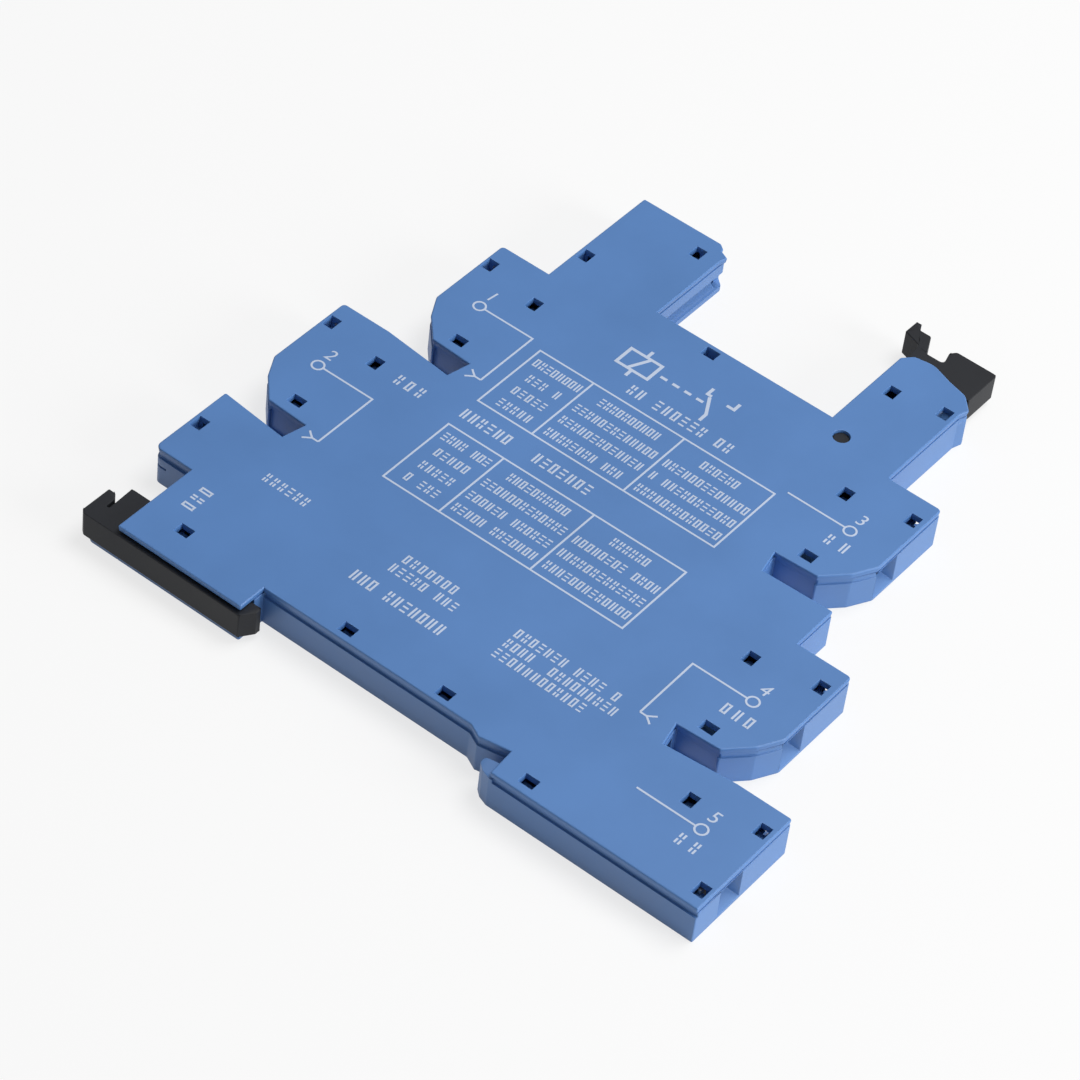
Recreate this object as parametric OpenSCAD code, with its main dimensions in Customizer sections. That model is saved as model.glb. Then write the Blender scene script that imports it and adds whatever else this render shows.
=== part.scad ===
// Slim plug-in relay socket for a 35 mm mounting rail.
// The socket lies on its flat back. X runs across the rail, Y away from it, Z through the thickness.
// Origin: middle of the rail, on its seat, at the back face.

/* [Module] */
// Thickness of the whole socket, its pitch side by side on the rail
module_t = 6.2; // [6.1:0.1:8]
// Thickness of the back plate
base_t = 0.9; // [0.8:0.1:1.2]
// Thickness of the front cover plate
cover_t = 1.0; // [0.8:0.1:1.3]
// Thickness of the side walls
wall_t = 1.0; // [0.8:0.1:1.2]

/* [Rail] */
// Width of the mounting rail
rail_w = 35.0; // [34:0.5:36]
// Thickness of the rail's flange
rail_flange_t = 1.0; // [0.8:0.1:1.5]
// Reach of the fixed hook over the rail's flange
hook_reach = 2.0; // [1.2:0.1:2.5]
// Length of both feet below the seat
foot_drop = 3.55; // [3.3:0.05:5]
// Clear height between the rail's seat and the recess floor
seat_rise = 0.95; // [0.6:0.05:1.2]

/* [Plan] */
// Left side of the two lower steps
left_low_x = -48.95; // [-52:0.05:-47]
// Left side of the upper step
left_high_x = -40.8; // [-42:0.05:-39.5]
// Left side of the tall arm that holds the light
lamp_arm_l = -32.7; // [-33.5:0.1:-32]
// Left side of the relay bay
bay_l = -17.2; // [-18:0.1:-16.5]
// Right side of the relay bay
bay_r = 12.1; // [11.8:0.1:12.4]
// Right side of the lever arm
lever_arm_r = 24.4; // [24:0.1:25]
// Right side of the upper step
right_high_x = 32.9; // [32:0.05:34]
// Right side of the middle step
right_mid_x = 41.5; // [41:0.05:42.5]
// Right side of the lowest step
right_low_x = 49.8; // [49:0.05:52]
// Height of the upper terminal fronts above the seat
front_high_y = 72.2; // [71:0.1:73]
// Height of the relay bay's floor
bay_y = 76.5; // [76:0.1:77.5]
// Height of the lamp arm's top
lamp_arm_y = 93.75; // [91:0.25:97]
// Height of the lever arm's top
lever_arm_y = 94.4; // [92:0.2:97]
// Step from one terminal front to the next on the coil side
left_step_y = 24.0; // [23.6:0.1:24.6]
// Front of the middle contact terminal
right_mid_y = 39.8; // [39:0.1:41]
// Front of the lowest contact terminal
right_low_y = 15.7; // [15:0.1:16]
// Distance from the socket's left side to the clip foot
foot_in = 6.25; // [5.6:0.05:7]
// Right side of the clip foot
foot_r = -22.1; // [-23:0.1:-21]
// Underside of the coil side's blank step
blank_y = 10.4; // [8:0.2:12]
// Height of the groove between the tub's walls and the cover
groove_h = 0.75; // [0.4:0.05:0.9]
// Depth of that groove in the walls that face the rail
groove_depth = 0.35; // [0.2:0.05:0.45]

/* [Terminals] */
// Distance from a terminal's side face to its screw
screw_inset = 4.25; // [4.1:0.05:4.4]
// Diameter of the terminal screw's thread
screw_d = 2.5; // [2:0.1:2.6]
// Diameter of the terminal screw's head
head_d = 3.7; // [3.4:0.1:3.8]
// Height of the terminal screw's head
head_h = 2.2; // [1.6:0.1:2.2]
// Depth of the screw head below the terminal front
head_sink = 1.7; // [1.2:0.1:1.8]
// Diameter of the screwdriver hole
driver_hole_d = 3.9; // [3.8:0.05:4]
// Width of a clamp cage along the wire
cage_w = 4.6; // [3.6:0.1:4.6]
// Height of a clamp cage
cage_h = 7.9; // [7.6:0.1:8.1]
// Height of a wire funnel's mouth
entry_h = 4.5; // [4:0.1:4.7]
// Height of a wire funnel's throat
throat_h = 3.5; // [2.6:0.1:3.7]
// Width of a wire funnel's throat through the thickness
throat_w = 3.0; // [2.4:0.1:3.2]

/* [Link slots] */
// Depth of a link slot from the terminal's side
slot_depth = 11.5; // [10.5:0.1:12]
// Distance from a terminal's front down to its link slot
slot_top = 21.4; // [21.2:0.1:22]
// Height of a link slot at its inner end
slot_h = 3.7; // [3:0.1:3.8]
// Depth of the recess in a link slot's upper wall
slot_recess = 0.45; // [0.2:0.05:0.55]

/* [Lever] */
// Diameter of the lever's pivot hole
pivot_d = 2.44; // [2.2:0.02:2.8]
// Radial running clearance at the pivot
pivot_gap = 0.07; // [0.03:0.01:0.1]
// Width of the lever's stem
stem_w = 2.9; // [2.2:0.1:3]
// Length of the lifting toe
toe_len = 8.7; // [7:0.1:9]
// Rise of the lever's finger pad above the lever arm
pad_rise = 5.4; // [4.6:0.1:6.6]

/* [Clip] */
// Travel of the rail clip from open to closed
clip_travel = 4.4; // [3.8:0.1:4.6]
// Reach of the open clip's hook past its foot
clip_reach = 1.5; // [1:0.1:1.8]
// Height of the clip's bar
clip_bar_h = 2.95; // [2.4:0.05:3]
// Length of the clip's tail past its foot
clip_tail = 6.0; // [5.6:0.1:7]

/* [Snap windows] */
// Short side of a snap window
window_w = 1.7; // [1.4:0.05:1.8]
// Long side of a snap window
window_l = 2.15; // [1.9:0.05:2.3]

/* [Hidden] */
$fn = 48;
eps = 0.02;
cut = 1;                                   // how far cutting bodies run past a face
play = 0.15;                               // clearance of a moving piece to the plates
inner_top = module_t - cover_t;            // underside of the cover
mid_z = (base_t + inner_top) / 2;
groove_z = inner_top - groove_h;           // top of the tub's flush wall
part_z = [base_t + play, inner_top - play];    // span of lever and clip
rib_t = 0.7;

// Cheek below a terminal's side: two flat facets down to the link slot
cheek_y = [14.3, 17.7, 21.1];
cheek_x = [0, 1.8, 4.9];
slot_lean = 0.8;

foot_l = left_low_x + foot_in;
left_mid_y = front_high_y - left_step_y;
left_low_y = front_high_y - 2 * left_step_y;
pivot = [bay_r + 3.1, bay_y - 2.25];
rail_r = rail_w / 2;

// Terminals: side x, front y, side of the socket (1 right, -1 left), has a link contact, has a link slot
TERMINALS = [
    [left_high_x, front_high_y, -1, true, true],
    [left_low_x, left_mid_y, -1, true, true],
    [right_high_x, front_high_y, 1, false, true],
    [right_mid_x, right_mid_y, 1, true, true],
    [right_low_x, right_low_y, 1, false, false]
];
A1 = 0;
A2 = 1;
C14 = 2;
C11 = 3;
C12 = 4;

// Places down a terminal, measured from its front
shoulder_y = head_sink + head_h + 0.2;
shoulder_t = 0.8;
cage_top = 7.9;
cage_plate_t = 1.4;
cage_floor_t = 0.8;
cage_side_t = 0.5;
bar_y = 10.0;
bar_t = 0.8;
entry_y = 12.1;
entry_z = [0.45, inner_top];
cage_gap = 0.25;                           // between a cage and the funnel beside it
throat_y = bar_y + bar_t / 2 + 0.25 + throat_h / 2;
tongue_z = [mid_z - 1.0, mid_z + 1.0];
bar_z = [base_t, inner_top - 1.0];
link_in = slot_depth + wall_t + 0.8;

// Relay pins in the bay's floor: coil, coil, break, common, make
pin_in = [2.2, 5.8, 12.2, 17.0, 21.6];
pins = [for (d = pin_in) bay_l + d];
pin_w = 1.7;
socket_gap = 0.9;
blade_t = 0.4;
socket_bottom = bay_y - 9;
socket_top = bay_y - wall_t - 0.3;
coil_z = [2.3, 4.3];

// Snap windows: x, y, 1 where the long side runs along Y, and the post's shift along X
windows = [
    [bay_l - 3.3, lamp_arm_y - 3.8, 1, 0], [lamp_arm_l + 1.4, bay_y + 2.15, 1, 0],
    [pins[2] - 2.1, bay_y - 1.55, 0, 0], [bay_r + 3.1, lever_arm_y - 8.45, 1, 0],
    [lever_arm_r - 1.6, lever_arm_y - 6.9, 1, 0.5], [lever_arm_r - 2.5, front_high_y - 6.35, 1, 0],
    [left_high_x + 1.2, front_high_y - 4.25, 1, -0.3], [lamp_arm_l + 2.4, front_high_y - 6.25, 1, 0],
    [left_high_x + 7.65, front_high_y - 18.9, 0, 0], [left_high_x + 2.4, left_mid_y - 6, 1, 0],
    [right_high_x - 1.7, front_high_y - 4.25, 1, 0.35], [right_high_x - 8, front_high_y - 18.95, 0, 0],
    [left_low_x + 1.25, left_mid_y - 4, 1, -0.3], [left_low_x + 7.75, left_mid_y - 18.7, 0, 0],
    [right_high_x - 2.7, right_mid_y - 6.15, 1, 0], [right_mid_x - 1.9, right_mid_y - 4.1, 1, 0.5],
    [right_mid_x - 8.15, right_mid_y - 19.15, 0, 0], [left_low_x + 1.35, left_low_y - 6.65, 1, 0],
    [right_mid_x - 2.75, right_low_y - 6.05, 1, 0], [right_low_x - 1.6, right_low_y - 4.05, 1, 0.3],
    [foot_l + 6.7, seat_rise + 0.6, 0, 0], [-9.8, seat_rise + 1.8, 0, 0], [5.9, seat_rise + 1.8, 0, 0],
    [rail_r + 5, 2.1 - foot_drop, 0, 0], [right_low_x - 1.5, 2.75 - foot_drop, 1, 0.2]
];
post = [1.1, 1.5];                         // across and along a snap window
post_top = inner_top - 1.5;
notch_bottom = inner_top - 1.8;

blue = "#4f7fc0";
charcoal = "#2b2b2e";

// ---- plane geometry -------------------------------------------------------------

function unit(v) = v / norm(v);
function xy(p) = [p[0], p[1]];
function at(p, i) = p[(i + len(p)) % len(p)];
function cross2(a, b) = a[0] * b[1] - a[1] * b[0];

// Moves every side of a clockwise outline inwards by d; corner radii follow
function inset(p, d) = [
    for (i = [0:len(p) - 1])
        let (a = unit(xy(p[i]) - xy(at(p, i - 1))), b = unit(xy(at(p, i + 1)) - xy(p[i])),
            na = [a[1], -a[0]], nb = [b[1], -b[0]], m = (na + nb) / (1 + na * nb),
            grow = cross2(a, b) > 0 ? d : -d)
        [p[i][0] + d * m[0], p[i][1] + d * m[1], p[i][2] > 0 ? max(0, p[i][2] + grow) : 0]
];

// Replaces each corner that has a radius by an arc
function rounded(p, steps = 5) = [
    for (i = [0:len(p) - 1])
        let (c = xy(p[i]), u = unit(xy(at(p, i - 1)) - c), v = unit(xy(at(p, i + 1)) - c),
            half = acos(u * v) / 2, r = p[i][2])
        if (r < 0.05) c
        else
            let (o = c + unit(u + v) * r / sin(half), s = c + u * r / tan(half), e = c + v * r / tan(half),
                a0 = atan2(s[1] - o[1], s[0] - o[0]), a1 = atan2(e[1] - o[1], e[0] - o[0]),
                sweep = ((a1 - a0 + 540) % 360) - 180)
            each [for (k = [0:steps]) o + r * [cos(a0 + sweep * k / steps), sin(a0 + sweep * k / steps)]]
];

// A strip of thickness t along a path of points, square at its ends
function strip(path, t) = let (n = len(path) - 1) concat(
    [for (i = [0:n]) path[i] + strip_side(path, i, n) * t / 2],
    [for (i = [n:-1:0]) path[i] - strip_side(path, i, n) * t / 2]
);
function strip_side(path, i, n) =
    let (a = unit(path[max(i, 1)] - path[max(i, 1) - 1]), b = unit(path[min(i + 1, n)] - path[min(i, n - 1)]),
        na = [-a[1], a[0]], nb = [-b[1], b[0]])
    (na + nb) / (1 + na * nb);

function reversed(p) = [for (i = [len(p) - 1:-1:0]) p[i]];

// Corners of one terminal from its front down into its link slot
function terminal_corners(t) = let (x = t[0], y = t[1], s = t[2]) concat(
    [[x, y, 0.6]],
    [for (i = [0:2]) [x - s * cheek_x[i], y - cheek_y[i], i < 2 ? 1.2 : 0.3]],
    [[x - s * slot_depth, y - slot_top, 0], [x - s * (slot_depth - slot_lean), y - slot_top - slot_h, 0]]
);

lever_arm_top = [
    [bay_r, lever_arm_y - 2, 0.4], [bay_r + 1.3, lever_arm_y - 0.5, 0.8], [bay_r + 4.2, lever_arm_y, 3],
    [bay_r + 7.6, lever_arm_y - 1.2, 3], [lever_arm_r - 1.6, lever_arm_y - 2, 1.5],
    [lever_arm_r + 0.5, lever_arm_y - 4.2, 0.5], [lever_arm_r, lever_arm_y - 5.8, 0.5]
];
hook_in = rail_r + 0.3;
nose_reach = 0.3;

// Top right corner of the lamp arm: plain on the tub, with a nose on the cover that holds the relay
lamp_corner = [[bay_l - 2.1, lamp_arm_y, 0.6], [bay_l, lamp_arm_y - 1.85, 0.6]];
lamp_nose = [
    [bay_l - 2.1, lamp_arm_y, 0.5], [bay_l - 1.2, lamp_arm_y - 0.7, 0.4],
    [bay_l - 1.1, lamp_arm_y - 1.15, 0.2], [bay_l + nose_reach, lamp_arm_y - 1.8, 0.15],
    [bay_l, lamp_arm_y - 3.2, 0.2]
];

// Outline of the whole socket, clockwise, with the lamp arm's corner given
function outline_with(corner) = concat(
    [[lamp_arm_l, lamp_arm_y, 0.3]],
    corner,
    [[bay_l, bay_y, 0], [bay_r, bay_y, 0]],
    lever_arm_top,
    [[lever_arm_r, front_high_y, 0.4]],
    terminal_corners(TERMINALS[C14]),
    [[right_high_x + 0.2, front_high_y - slot_top - slot_h + 0.35, 0.3],
        [right_high_x + 0.2, right_mid_y, 0]],
    terminal_corners(TERMINALS[C11]),
    [[right_mid_x, right_low_y, 0], [right_low_x, right_low_y, 0.4], [right_low_x, -foot_drop, 0.2],
        [hook_in + 0.3, -foot_drop, 0.2], [hook_in, seat_rise - 0.1, 0], [hook_in - 4.5, 0, 0.5],
        [hook_in - 6.4, seat_rise, 0.8], [foot_r, seat_rise, 0],
        [foot_r, -foot_drop, 0.3], [foot_l, -foot_drop, 0.2], [foot_l, blank_y, 0], [left_low_x, blank_y, 1.0],
        [left_low_x, left_low_y, 0.3]],
    reversed(terminal_corners(TERMINALS[A2])),
    [[left_high_x - 0.2, left_mid_y, 1]],
    reversed(terminal_corners(TERMINALS[A1])),
    [[lamp_arm_l, front_high_y, 0]]
);
outline = outline_with(lamp_corner);

module plate(p, z0, z1) {
    translate([0, 0, z0]) linear_extrude(z1 - z0) polygon(p);
}

module block(x0, x1, y0, y1, z0, z1) {
    translate([x0, y0, z0]) cube([x1 - x0, y1 - y0, z1 - z0]);
}

module along_y(x, y, z, r, h) {
    translate([x, y, z]) rotate([-90, 0, 0]) cylinder(r = r, h = h);
}

function screw_x(t) = t[0] - t[2] * screw_inset;

// ---- housing ----------------------------------------------------------------------

// Open tub; the groove under the cover is cut only into the walls that face the rail
module tub() {
    difference() {
        plate(rounded(outline), 0, inner_top);
        plate(rounded(inset(outline, wall_t)), base_t, module_t);
        difference() {
            block(left_low_x - cut, right_low_x + cut, -foot_drop - cut, lever_arm_y + cut,
                groove_z, module_t);
            translate([0, groove_depth, 0]) plate(rounded(outline), groove_z - cut, module_t + cut);
            plate(rounded(inset(outline, wall_t - eps)), groove_z - cut, module_t + cut);
        }
    }
}

module window_shape(w, z0, z1) {
    sx = w[2] == 1 ? window_w : window_l;
    sy = w[2] == 1 ? window_l : window_w;
    block(w[0] - sx / 2, w[0] + sx / 2, w[1] - sy / 2, w[1] + sy / 2, z0, z1);
}

module snap_post(w) {
    x = w[0] + w[3];
    sx = w[2] == 1 ? post[0] : post[1];
    sy = w[2] == 1 ? post[1] : post[0];
    block(x - sx / 2, x + sx / 2, w[1] - sy / 2, w[1] + sy / 2, base_t - eps, post_top);
}

// Guide rib beside a screw and the shoulder that carries its head
module screw_guide(t) {
    x = screw_x(t);
    s = t[2];
    inner = x - s * (cage_w / 2 + 0.4);
    outer = t[0] - s * (wall_t - eps);
    block(min(inner, inner - s * rib_t), max(inner, inner - s * rib_t), t[1] - cage_top + 2.2,
        t[1] - wall_t + eps, base_t - eps, inner_top);
    difference() {
        block(min(inner, outer), max(inner, outer), t[1] - shoulder_y - shoulder_t, t[1] - shoulder_y,
            base_t - eps, inner_top);
        along_y(x, t[1] - shoulder_y - shoulder_t - cut, mid_z, screw_d / 2 + 0.05, shoulder_t + 2 * cut);
    }
}

module driver_hole(t) {
    along_y(screw_x(t), t[1] - wall_t - 0.2, mid_z, driver_hole_d / 2, wall_t + cut);
}

// Solid round the wire funnel, from the side wall to just short of the cage
module funnel_block(t) {
    inner = screw_x(t) + t[2] * (cage_w / 2 + cage_gap);
    outer = t[0] - t[2] * (wall_t - eps);
    block(min(inner, outer), max(inner, outer), t[1] - entry_y - entry_h / 2 - rib_t,
        t[1] - entry_y + entry_h / 2 + rib_t, base_t - eps, inner_top);
}

// Wire funnel: narrows in both directions from its mouth to its throat
module wire_entry(t) {
    s = t[2];
    mouth = [t[0] + eps * s, t[1] - entry_y];
    throat = [screw_x(t) + s * (cage_w / 2 + cage_gap), t[1] - throat_y];
    intersection() {
        plate([[throat[0] - s * eps, throat[1] - throat_h / 2],
            [throat[0] - s * eps, throat[1] + throat_h / 2],
            [mouth[0], mouth[1] + entry_h / 2], [mouth[0], mouth[1] - entry_h / 2]], 0, module_t);
        translate([0, mouth[1] + entry_h, 0]) rotate([90, 0, 0]) linear_extrude(2 * entry_h)
            polygon([[throat[0] - s * eps, mid_z - throat_w / 2], [throat[0] - s * eps, mid_z + throat_w / 2],
                [mouth[0], entry_z[1]], [mouth[0], entry_z[0]]]);
    }
}

// Shallow recess in the upper wall of a link slot, below the groove
module slot_wall_recess(t) {
    s = t[2];
    path = [[t[0] - s * (cheek_x[2] + 0.3), t[1] - cheek_y[2]], [t[0] - s * slot_depth, t[1] - slot_top]];
    plate(strip(path, 2 * slot_recess), base_t, groove_z + eps);
}

// Opening for a link comb in the inner end of a slot
module link_opening(t) {
    x = t[0] - t[2] * (slot_depth + 0.4);
    y = t[1] - slot_top - slot_h / 2;
    block(x - 2, x + 2, y - 1.1, y + 1.1, base_t + 0.7, inner_top - 0.9);
}

clip_y0 = -foot_drop - 0.5;
clip_y1 = clip_y0 + clip_bar_h;
channel_y = clip_y1 + 0.3;
flange_l = clip_tail - 0.9;
flange_t = 0.6;
prong_in_top = 3.45;
pocket_x = foot_l + clip_travel + 0.1;
tee_x = (foot_l + foot_r) / 2 + 0.9;
tee_neck = 2.4;
tee_half = 2.8;
tee_y = channel_y + wall_t + 0.3;

// Thin flange that carries the clip's tail
module clip_flange() {
    plate(rounded([[foot_l + eps, -foot_drop, 0], [foot_l - flange_l, -foot_drop, 0.8],
        [foot_l - flange_l, channel_y, 0.3], [foot_l + eps, channel_y, 0]]), 0, flange_t);
}

module clip_channel_walls() {
    block(foot_l + eps, foot_r, channel_y, channel_y + wall_t, base_t - eps, inner_top);
    block(pocket_x, pocket_x + rib_t, channel_y, prong_in_top + 1.1, base_t - eps, inner_top);
    block(foot_l + eps, pocket_x + rib_t, prong_in_top + 0.4, prong_in_top + 1.1, base_t - eps, inner_top);
}

module clip_channel_cuts() {
    block(foot_l - cut, foot_r + cut, -foot_drop - cut, channel_y, base_t, module_t);
    block(foot_l - cut, pocket_x, channel_y - cut, prong_in_top + 0.4, base_t, module_t);
    block(tee_x - tee_neck / 2 - 0.3, tee_x + tee_neck / 2 + clip_travel + 0.3, channel_y - cut,
        channel_y + wall_t + cut, base_t, module_t);
}

// Fixed hook that takes the rail's right flange
module rail_hook() {
    tip = rail_r - hook_reach;
    top = -rail_flange_t - 0.1;
    plate(rounded([[hook_in + 0.7, -foot_drop, 0], [hook_in + 0.2, -foot_drop, 0.3],
        [hook_in - 1.2, 0.5 - foot_drop, 0.5], [tip + 0.1, top - 1.1, 0.5], [tip, top, 0.6],
        [hook_in + 0.7, top + 0.55, 0]]), 0, inner_top - 0.2);
}

lamp_pocket_x = bay_l - 2.9;
lamp_pocket_top = lamp_arm_y - 2.9;
lamp_pocket_z = base_t + 2.5;
slit_l = 2.0;
slit_w = 0.3;

// Pocket low in the lamp arm's side, open past the arm's top corner
module lamp_pocket() {
    block(lamp_pocket_x, bay_l + cut, bay_y + eps, lamp_pocket_top, base_t, lamp_pocket_z);
    block(bay_l - 1.2, bay_l + cut, lamp_pocket_top - eps, lamp_arm_y + cut, base_t, lamp_pocket_z);
}

// Short slit in the blank step's lower wall
module blank_slit() {
    block(left_low_x - cut, left_low_x + slit_l, blank_y - cut, blank_y + 0.5, mid_z - slit_w / 2,
        mid_z + slit_w / 2);
}

module housing() {
    color(blue) difference() {
        union() {
            difference() {
                tub();
                clip_channel_cuts();
            }
            for (w = windows) snap_post(w);
            for (t = TERMINALS) screw_guide(t);
            for (t = TERMINALS) funnel_block(t);
            block(lamp_pocket_x - rib_t, lamp_pocket_x, bay_y - wall_t, lamp_arm_y - wall_t + eps,
                base_t - eps, inner_top);
            difference() {
                clip_channel_walls();
                clip_channel_cuts();
            }
            rail_hook();
            clip_flange();
        }
        for (w = windows) difference() {
            window_shape(w, notch_bottom, module_t);
            snap_post(w);
        }
        for (t = TERMINALS) driver_hole(t);
        for (t = TERMINALS) wire_entry(t);
        for (t = TERMINALS) if (t[3]) link_opening(t);
        for (t = TERMINALS) if (t[4]) slot_wall_recess(t);
        blank_slit();
        for (x = pins) block(x - pin_w / 2, x + pin_w / 2, bay_y - wall_t - cut, bay_y + cut,
            mid_z - 1.5, mid_z + 1.5);
        // mouth of the lever arm, the toe's slot and the pivot
        block(bay_r + 0.5, lever_arm_r + cut, lever_arm_y - 4.2, lever_arm_y + cut, base_t, module_t);
        block(bay_r - cut, bay_r + 2, lever_arm_y - 1.9, lever_arm_y + cut, base_t, module_t);
        block(pivot[0] - toe_len - 0.5, bay_r + wall_t + 0.3, bay_y - wall_t - 0.2, bay_y + 1.1,
            base_t, inner_top + eps);
        translate([pivot[0], pivot[1], 0.3]) cylinder(d = pivot_d, h = base_t);
        lamp_pocket();
        lens_seat(0.08);
    }
}

// ---- cover --------------------------------------------------------------------------

module cover() {
    color(blue) difference() {
        plate(rounded(outline_with(lamp_nose)), inner_top, module_t);
        for (w = windows) window_shape(w, inner_top - cut, module_t + cut);
        translate([pivot[0], pivot[1], inner_top - cut]) cylinder(d = pivot_d, h = cover_t + 2 * cut);
    }
}

// ---- moving pieces --------------------------------------------------------------------

module release_lever() {
    px = pivot[0];
    py = pivot[1];
    hub_r = 2.6;
    lever_top_y = lever_arm_y + pad_rise;
    stem_l = px + 1.3;
    head_l = bay_r + 0.2;
    head_r = lever_arm_r - 1.2;
    head_y = lever_arm_y - 1.5;
    saddle_y = lever_top_y - 3.15;
    prong_l = bay_r - 3.1;
    outline_head = rounded([
        [stem_l, py, 0], [stem_l, head_y, 0.5], [head_l, head_y, 0.3], [bay_r - 0.2, head_y + 4.4, 0.5],
        [prong_l, lever_top_y - 1.5, 0.2], [prong_l + 0.05, lever_top_y + 1.2, 0.3],
        [prong_l + 0.85, lever_top_y + 1.2, 0.2], [prong_l + 1.4, lever_top_y + 0.1, 0.2],
        [prong_l + 3.2, lever_top_y + 0.1, 0.4], [prong_l + 4.7, saddle_y, 0.4],
        [prong_l + 7.5, saddle_y, 0.5], [prong_l + 6.9, lever_top_y - 0.9, 0.6],
        [prong_l + 7.6, lever_top_y, 0.6], [head_r, lever_top_y, 0.5], [head_r, head_y, 0.3],
        [stem_l + stem_w, head_y, 0.5], [stem_l + stem_w, py, 0]]);
    toe = rounded([[px, py - 1.2, 0], [px - toe_len + 1.5, py + 0.3, 0.6], [px - toe_len, py + 0.9, 0.4],
        [px - toe_len, py + 1.75, 0.3], [px, py + 1.75, 0]]);
    color(charcoal) union() {
        plate(outline_head, part_z[0], part_z[1]);
        plate(toe, part_z[0], part_z[1]);
        translate([px, py, part_z[0]]) cylinder(r = hub_r, h = part_z[1] - part_z[0]);
        translate([px, py, 0.35]) cylinder(d = pivot_d - 2 * pivot_gap, h = module_t - 0.35 - 0.4);
    }
}

module din_clip() {
    tail = foot_l - clip_tail;
    color(charcoal) union() {
        // bar with its bevelled hook
        plate(rounded([[tail, clip_y0 + 0.5, 0.2], [tail, clip_y1, 0],
            [foot_r + clip_reach, clip_y1, 0.3], [foot_r + clip_reach, clip_y1 - 1.0, 0.4],
            [foot_r + 0.2, clip_y0, 0.4], [tail + 0.6, clip_y0, 0.4]]), part_z[0], part_z[1]);
        // two prongs with the screwdriver notch between them
        plate(rounded([[tail, clip_y1 - eps, 0], [tail, 1.4, 0.3], [tail + 1.1, 1.4, 0.4],
            [tail + 1.8, 0.6, 0.3], [tail + 1.8, clip_y1 - eps, 0]]), part_z[0], part_z[1]);
        plate(rounded([[tail + 2.3, clip_y1 - eps, 0], [tail + 2.1, prong_in_top, 0.3],
            [foot_l - 0.3, prong_in_top, 0.3], [foot_l - 0.3, clip_y1 - eps, 0]]), part_z[0], part_z[1]);
        // tee that holds the clip in its channel
        block(tee_x - tee_neck / 2, tee_x + tee_neck / 2, clip_y1 - eps, tee_y + 1.2, part_z[0], part_z[1]);
        block(tee_x - tee_half, tee_x + tee_half, tee_y, tee_y + 1.2, part_z[0], part_z[1]);
    }
}

// ---- terminals ---------------------------------------------------------------------------

module screw(t) {
    x = screw_x(t);
    top = t[1] - head_sink;
    tip = t[1] - bar_y + bar_t / 2 + 0.1;
    color("silver") difference() {
        union() {
            along_y(x, top - head_h, mid_z, head_d / 2, head_h);
            along_y(x, tip, mid_z, screw_d / 2, top - head_h - tip + eps);
        }
        block(x - head_d, x + head_d, top - 0.9, top + cut, mid_z - 0.35, mid_z + 0.35);
        block(x - 0.35, x + 0.35, top - 1.1, top + cut, mid_z - 1.1, mid_z + 1.1);
    }
}

// Square ring round the contact bar, threaded on top
module cage(t) {
    x = screw_x(t);
    top = t[1] - cage_top;
    color("silver") difference() {
        block(x - cage_w / 2, x + cage_w / 2, top - cage_h, top, base_t + 0.2, inner_top - 0.2);
        block(x - cage_w, x + cage_w, top - cage_h + cage_floor_t, top - cage_plate_t,
            base_t + 0.2 + cage_side_t, inner_top - 0.2 - cage_side_t);
        along_y(x, top - cage_plate_t - cut, mid_z, screw_d / 2 + 0.05, cage_plate_t + 2 * cut);
    }
}

// Tongue of a contact bar inside the cage, and its link contact
module bar_tongue(t) {
    x = screw_x(t);
    s = t[2];
    y = t[1] - bar_y;
    inner = x - s * (cage_w / 2 + 1.2);
    outer = x + s * (cage_w / 2 - 0.1);
    plate(strip([[outer, y], [inner, y]], bar_t), tongue_z[0], tongue_z[1]);
    if (t[3]) {
        lx = t[0] - s * link_in;
        plate(strip([[lx, y], [lx, t[1] - slot_top - slot_h]], bar_t), bar_z[0], bar_z[1]);
    }
}

// Two spring blades that grip a relay pin
module pin_socket(x, z) {
    half = socket_gap / 2 + blade_t / 2;
    for (s = [-1, 1])
        plate(strip([[x + s * half, socket_bottom], [x + s * half, socket_top - 2.2],
            [x + s * (half - 0.2), socket_top - 1.2], [x + s * (half + 0.1), socket_top]], blade_t),
            z[0], z[1]);
    block(x - half - blade_t / 2, x + half + blade_t / 2, socket_bottom - 0.6, socket_bottom + eps,
        z[0], z[1]);
}

// Bends of the two long contact bars: where each rises and how high
riser_out = [4.9, 0.9];
riser_drop = [19.5, 24];
riser_11 = [bay_r + riser_out[0], bay_y - riser_drop[0]];
riser_12 = [bay_r + riser_out[1], bay_y - riser_drop[1]];
via_11 = [[riser_11[0], right_mid_y - bar_y], riser_11, [pins[3], riser_11[1]]];
via_12 = [[riser_12[0], right_low_y - bar_y], riser_12, [pins[2], riser_12[1]]];

module contact_bar(t, pin, via) {
    y = t[1] - bar_y;
    start = screw_x(t) - t[2] * (cage_w / 2 + 0.6);
    path = concat([[start, y]], via, [[pin, socket_bottom - 0.3]]);
    color("peru") union() {
        bar_tongue(t);
        plate(strip(path, bar_t), bar_z[0], bar_z[1]);
        pin_socket(pin, bar_z);
    }
}

board_side = [8.3, 8.2];                   // reach of the board to both sides of the bay's left wall
board_l = bay_l - board_side[0];
board_r = bay_l + board_side[1];
board_drop = 33.5;
board_bottom = bay_y - board_drop;
board_t = 0.8;
tail_in = 1.5;                             // reach of a solder tail over the board
coil_tail_y = board_bottom + tail_in;
board_z = [base_t, base_t + board_t];
part_on_board = board_z[1];

// Bends of the two coil bars beside the board
tongue_high_y = front_high_y - bar_y;
coil_bar_x = board_l - 2 * bar_t;
via_a1 = [[coil_bar_x, tongue_high_y]];
via_a2 = [[coil_bar_x, left_mid_y - bar_y], [coil_bar_x, coil_tail_y], [board_l - bar_t, coil_tail_y]];

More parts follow.
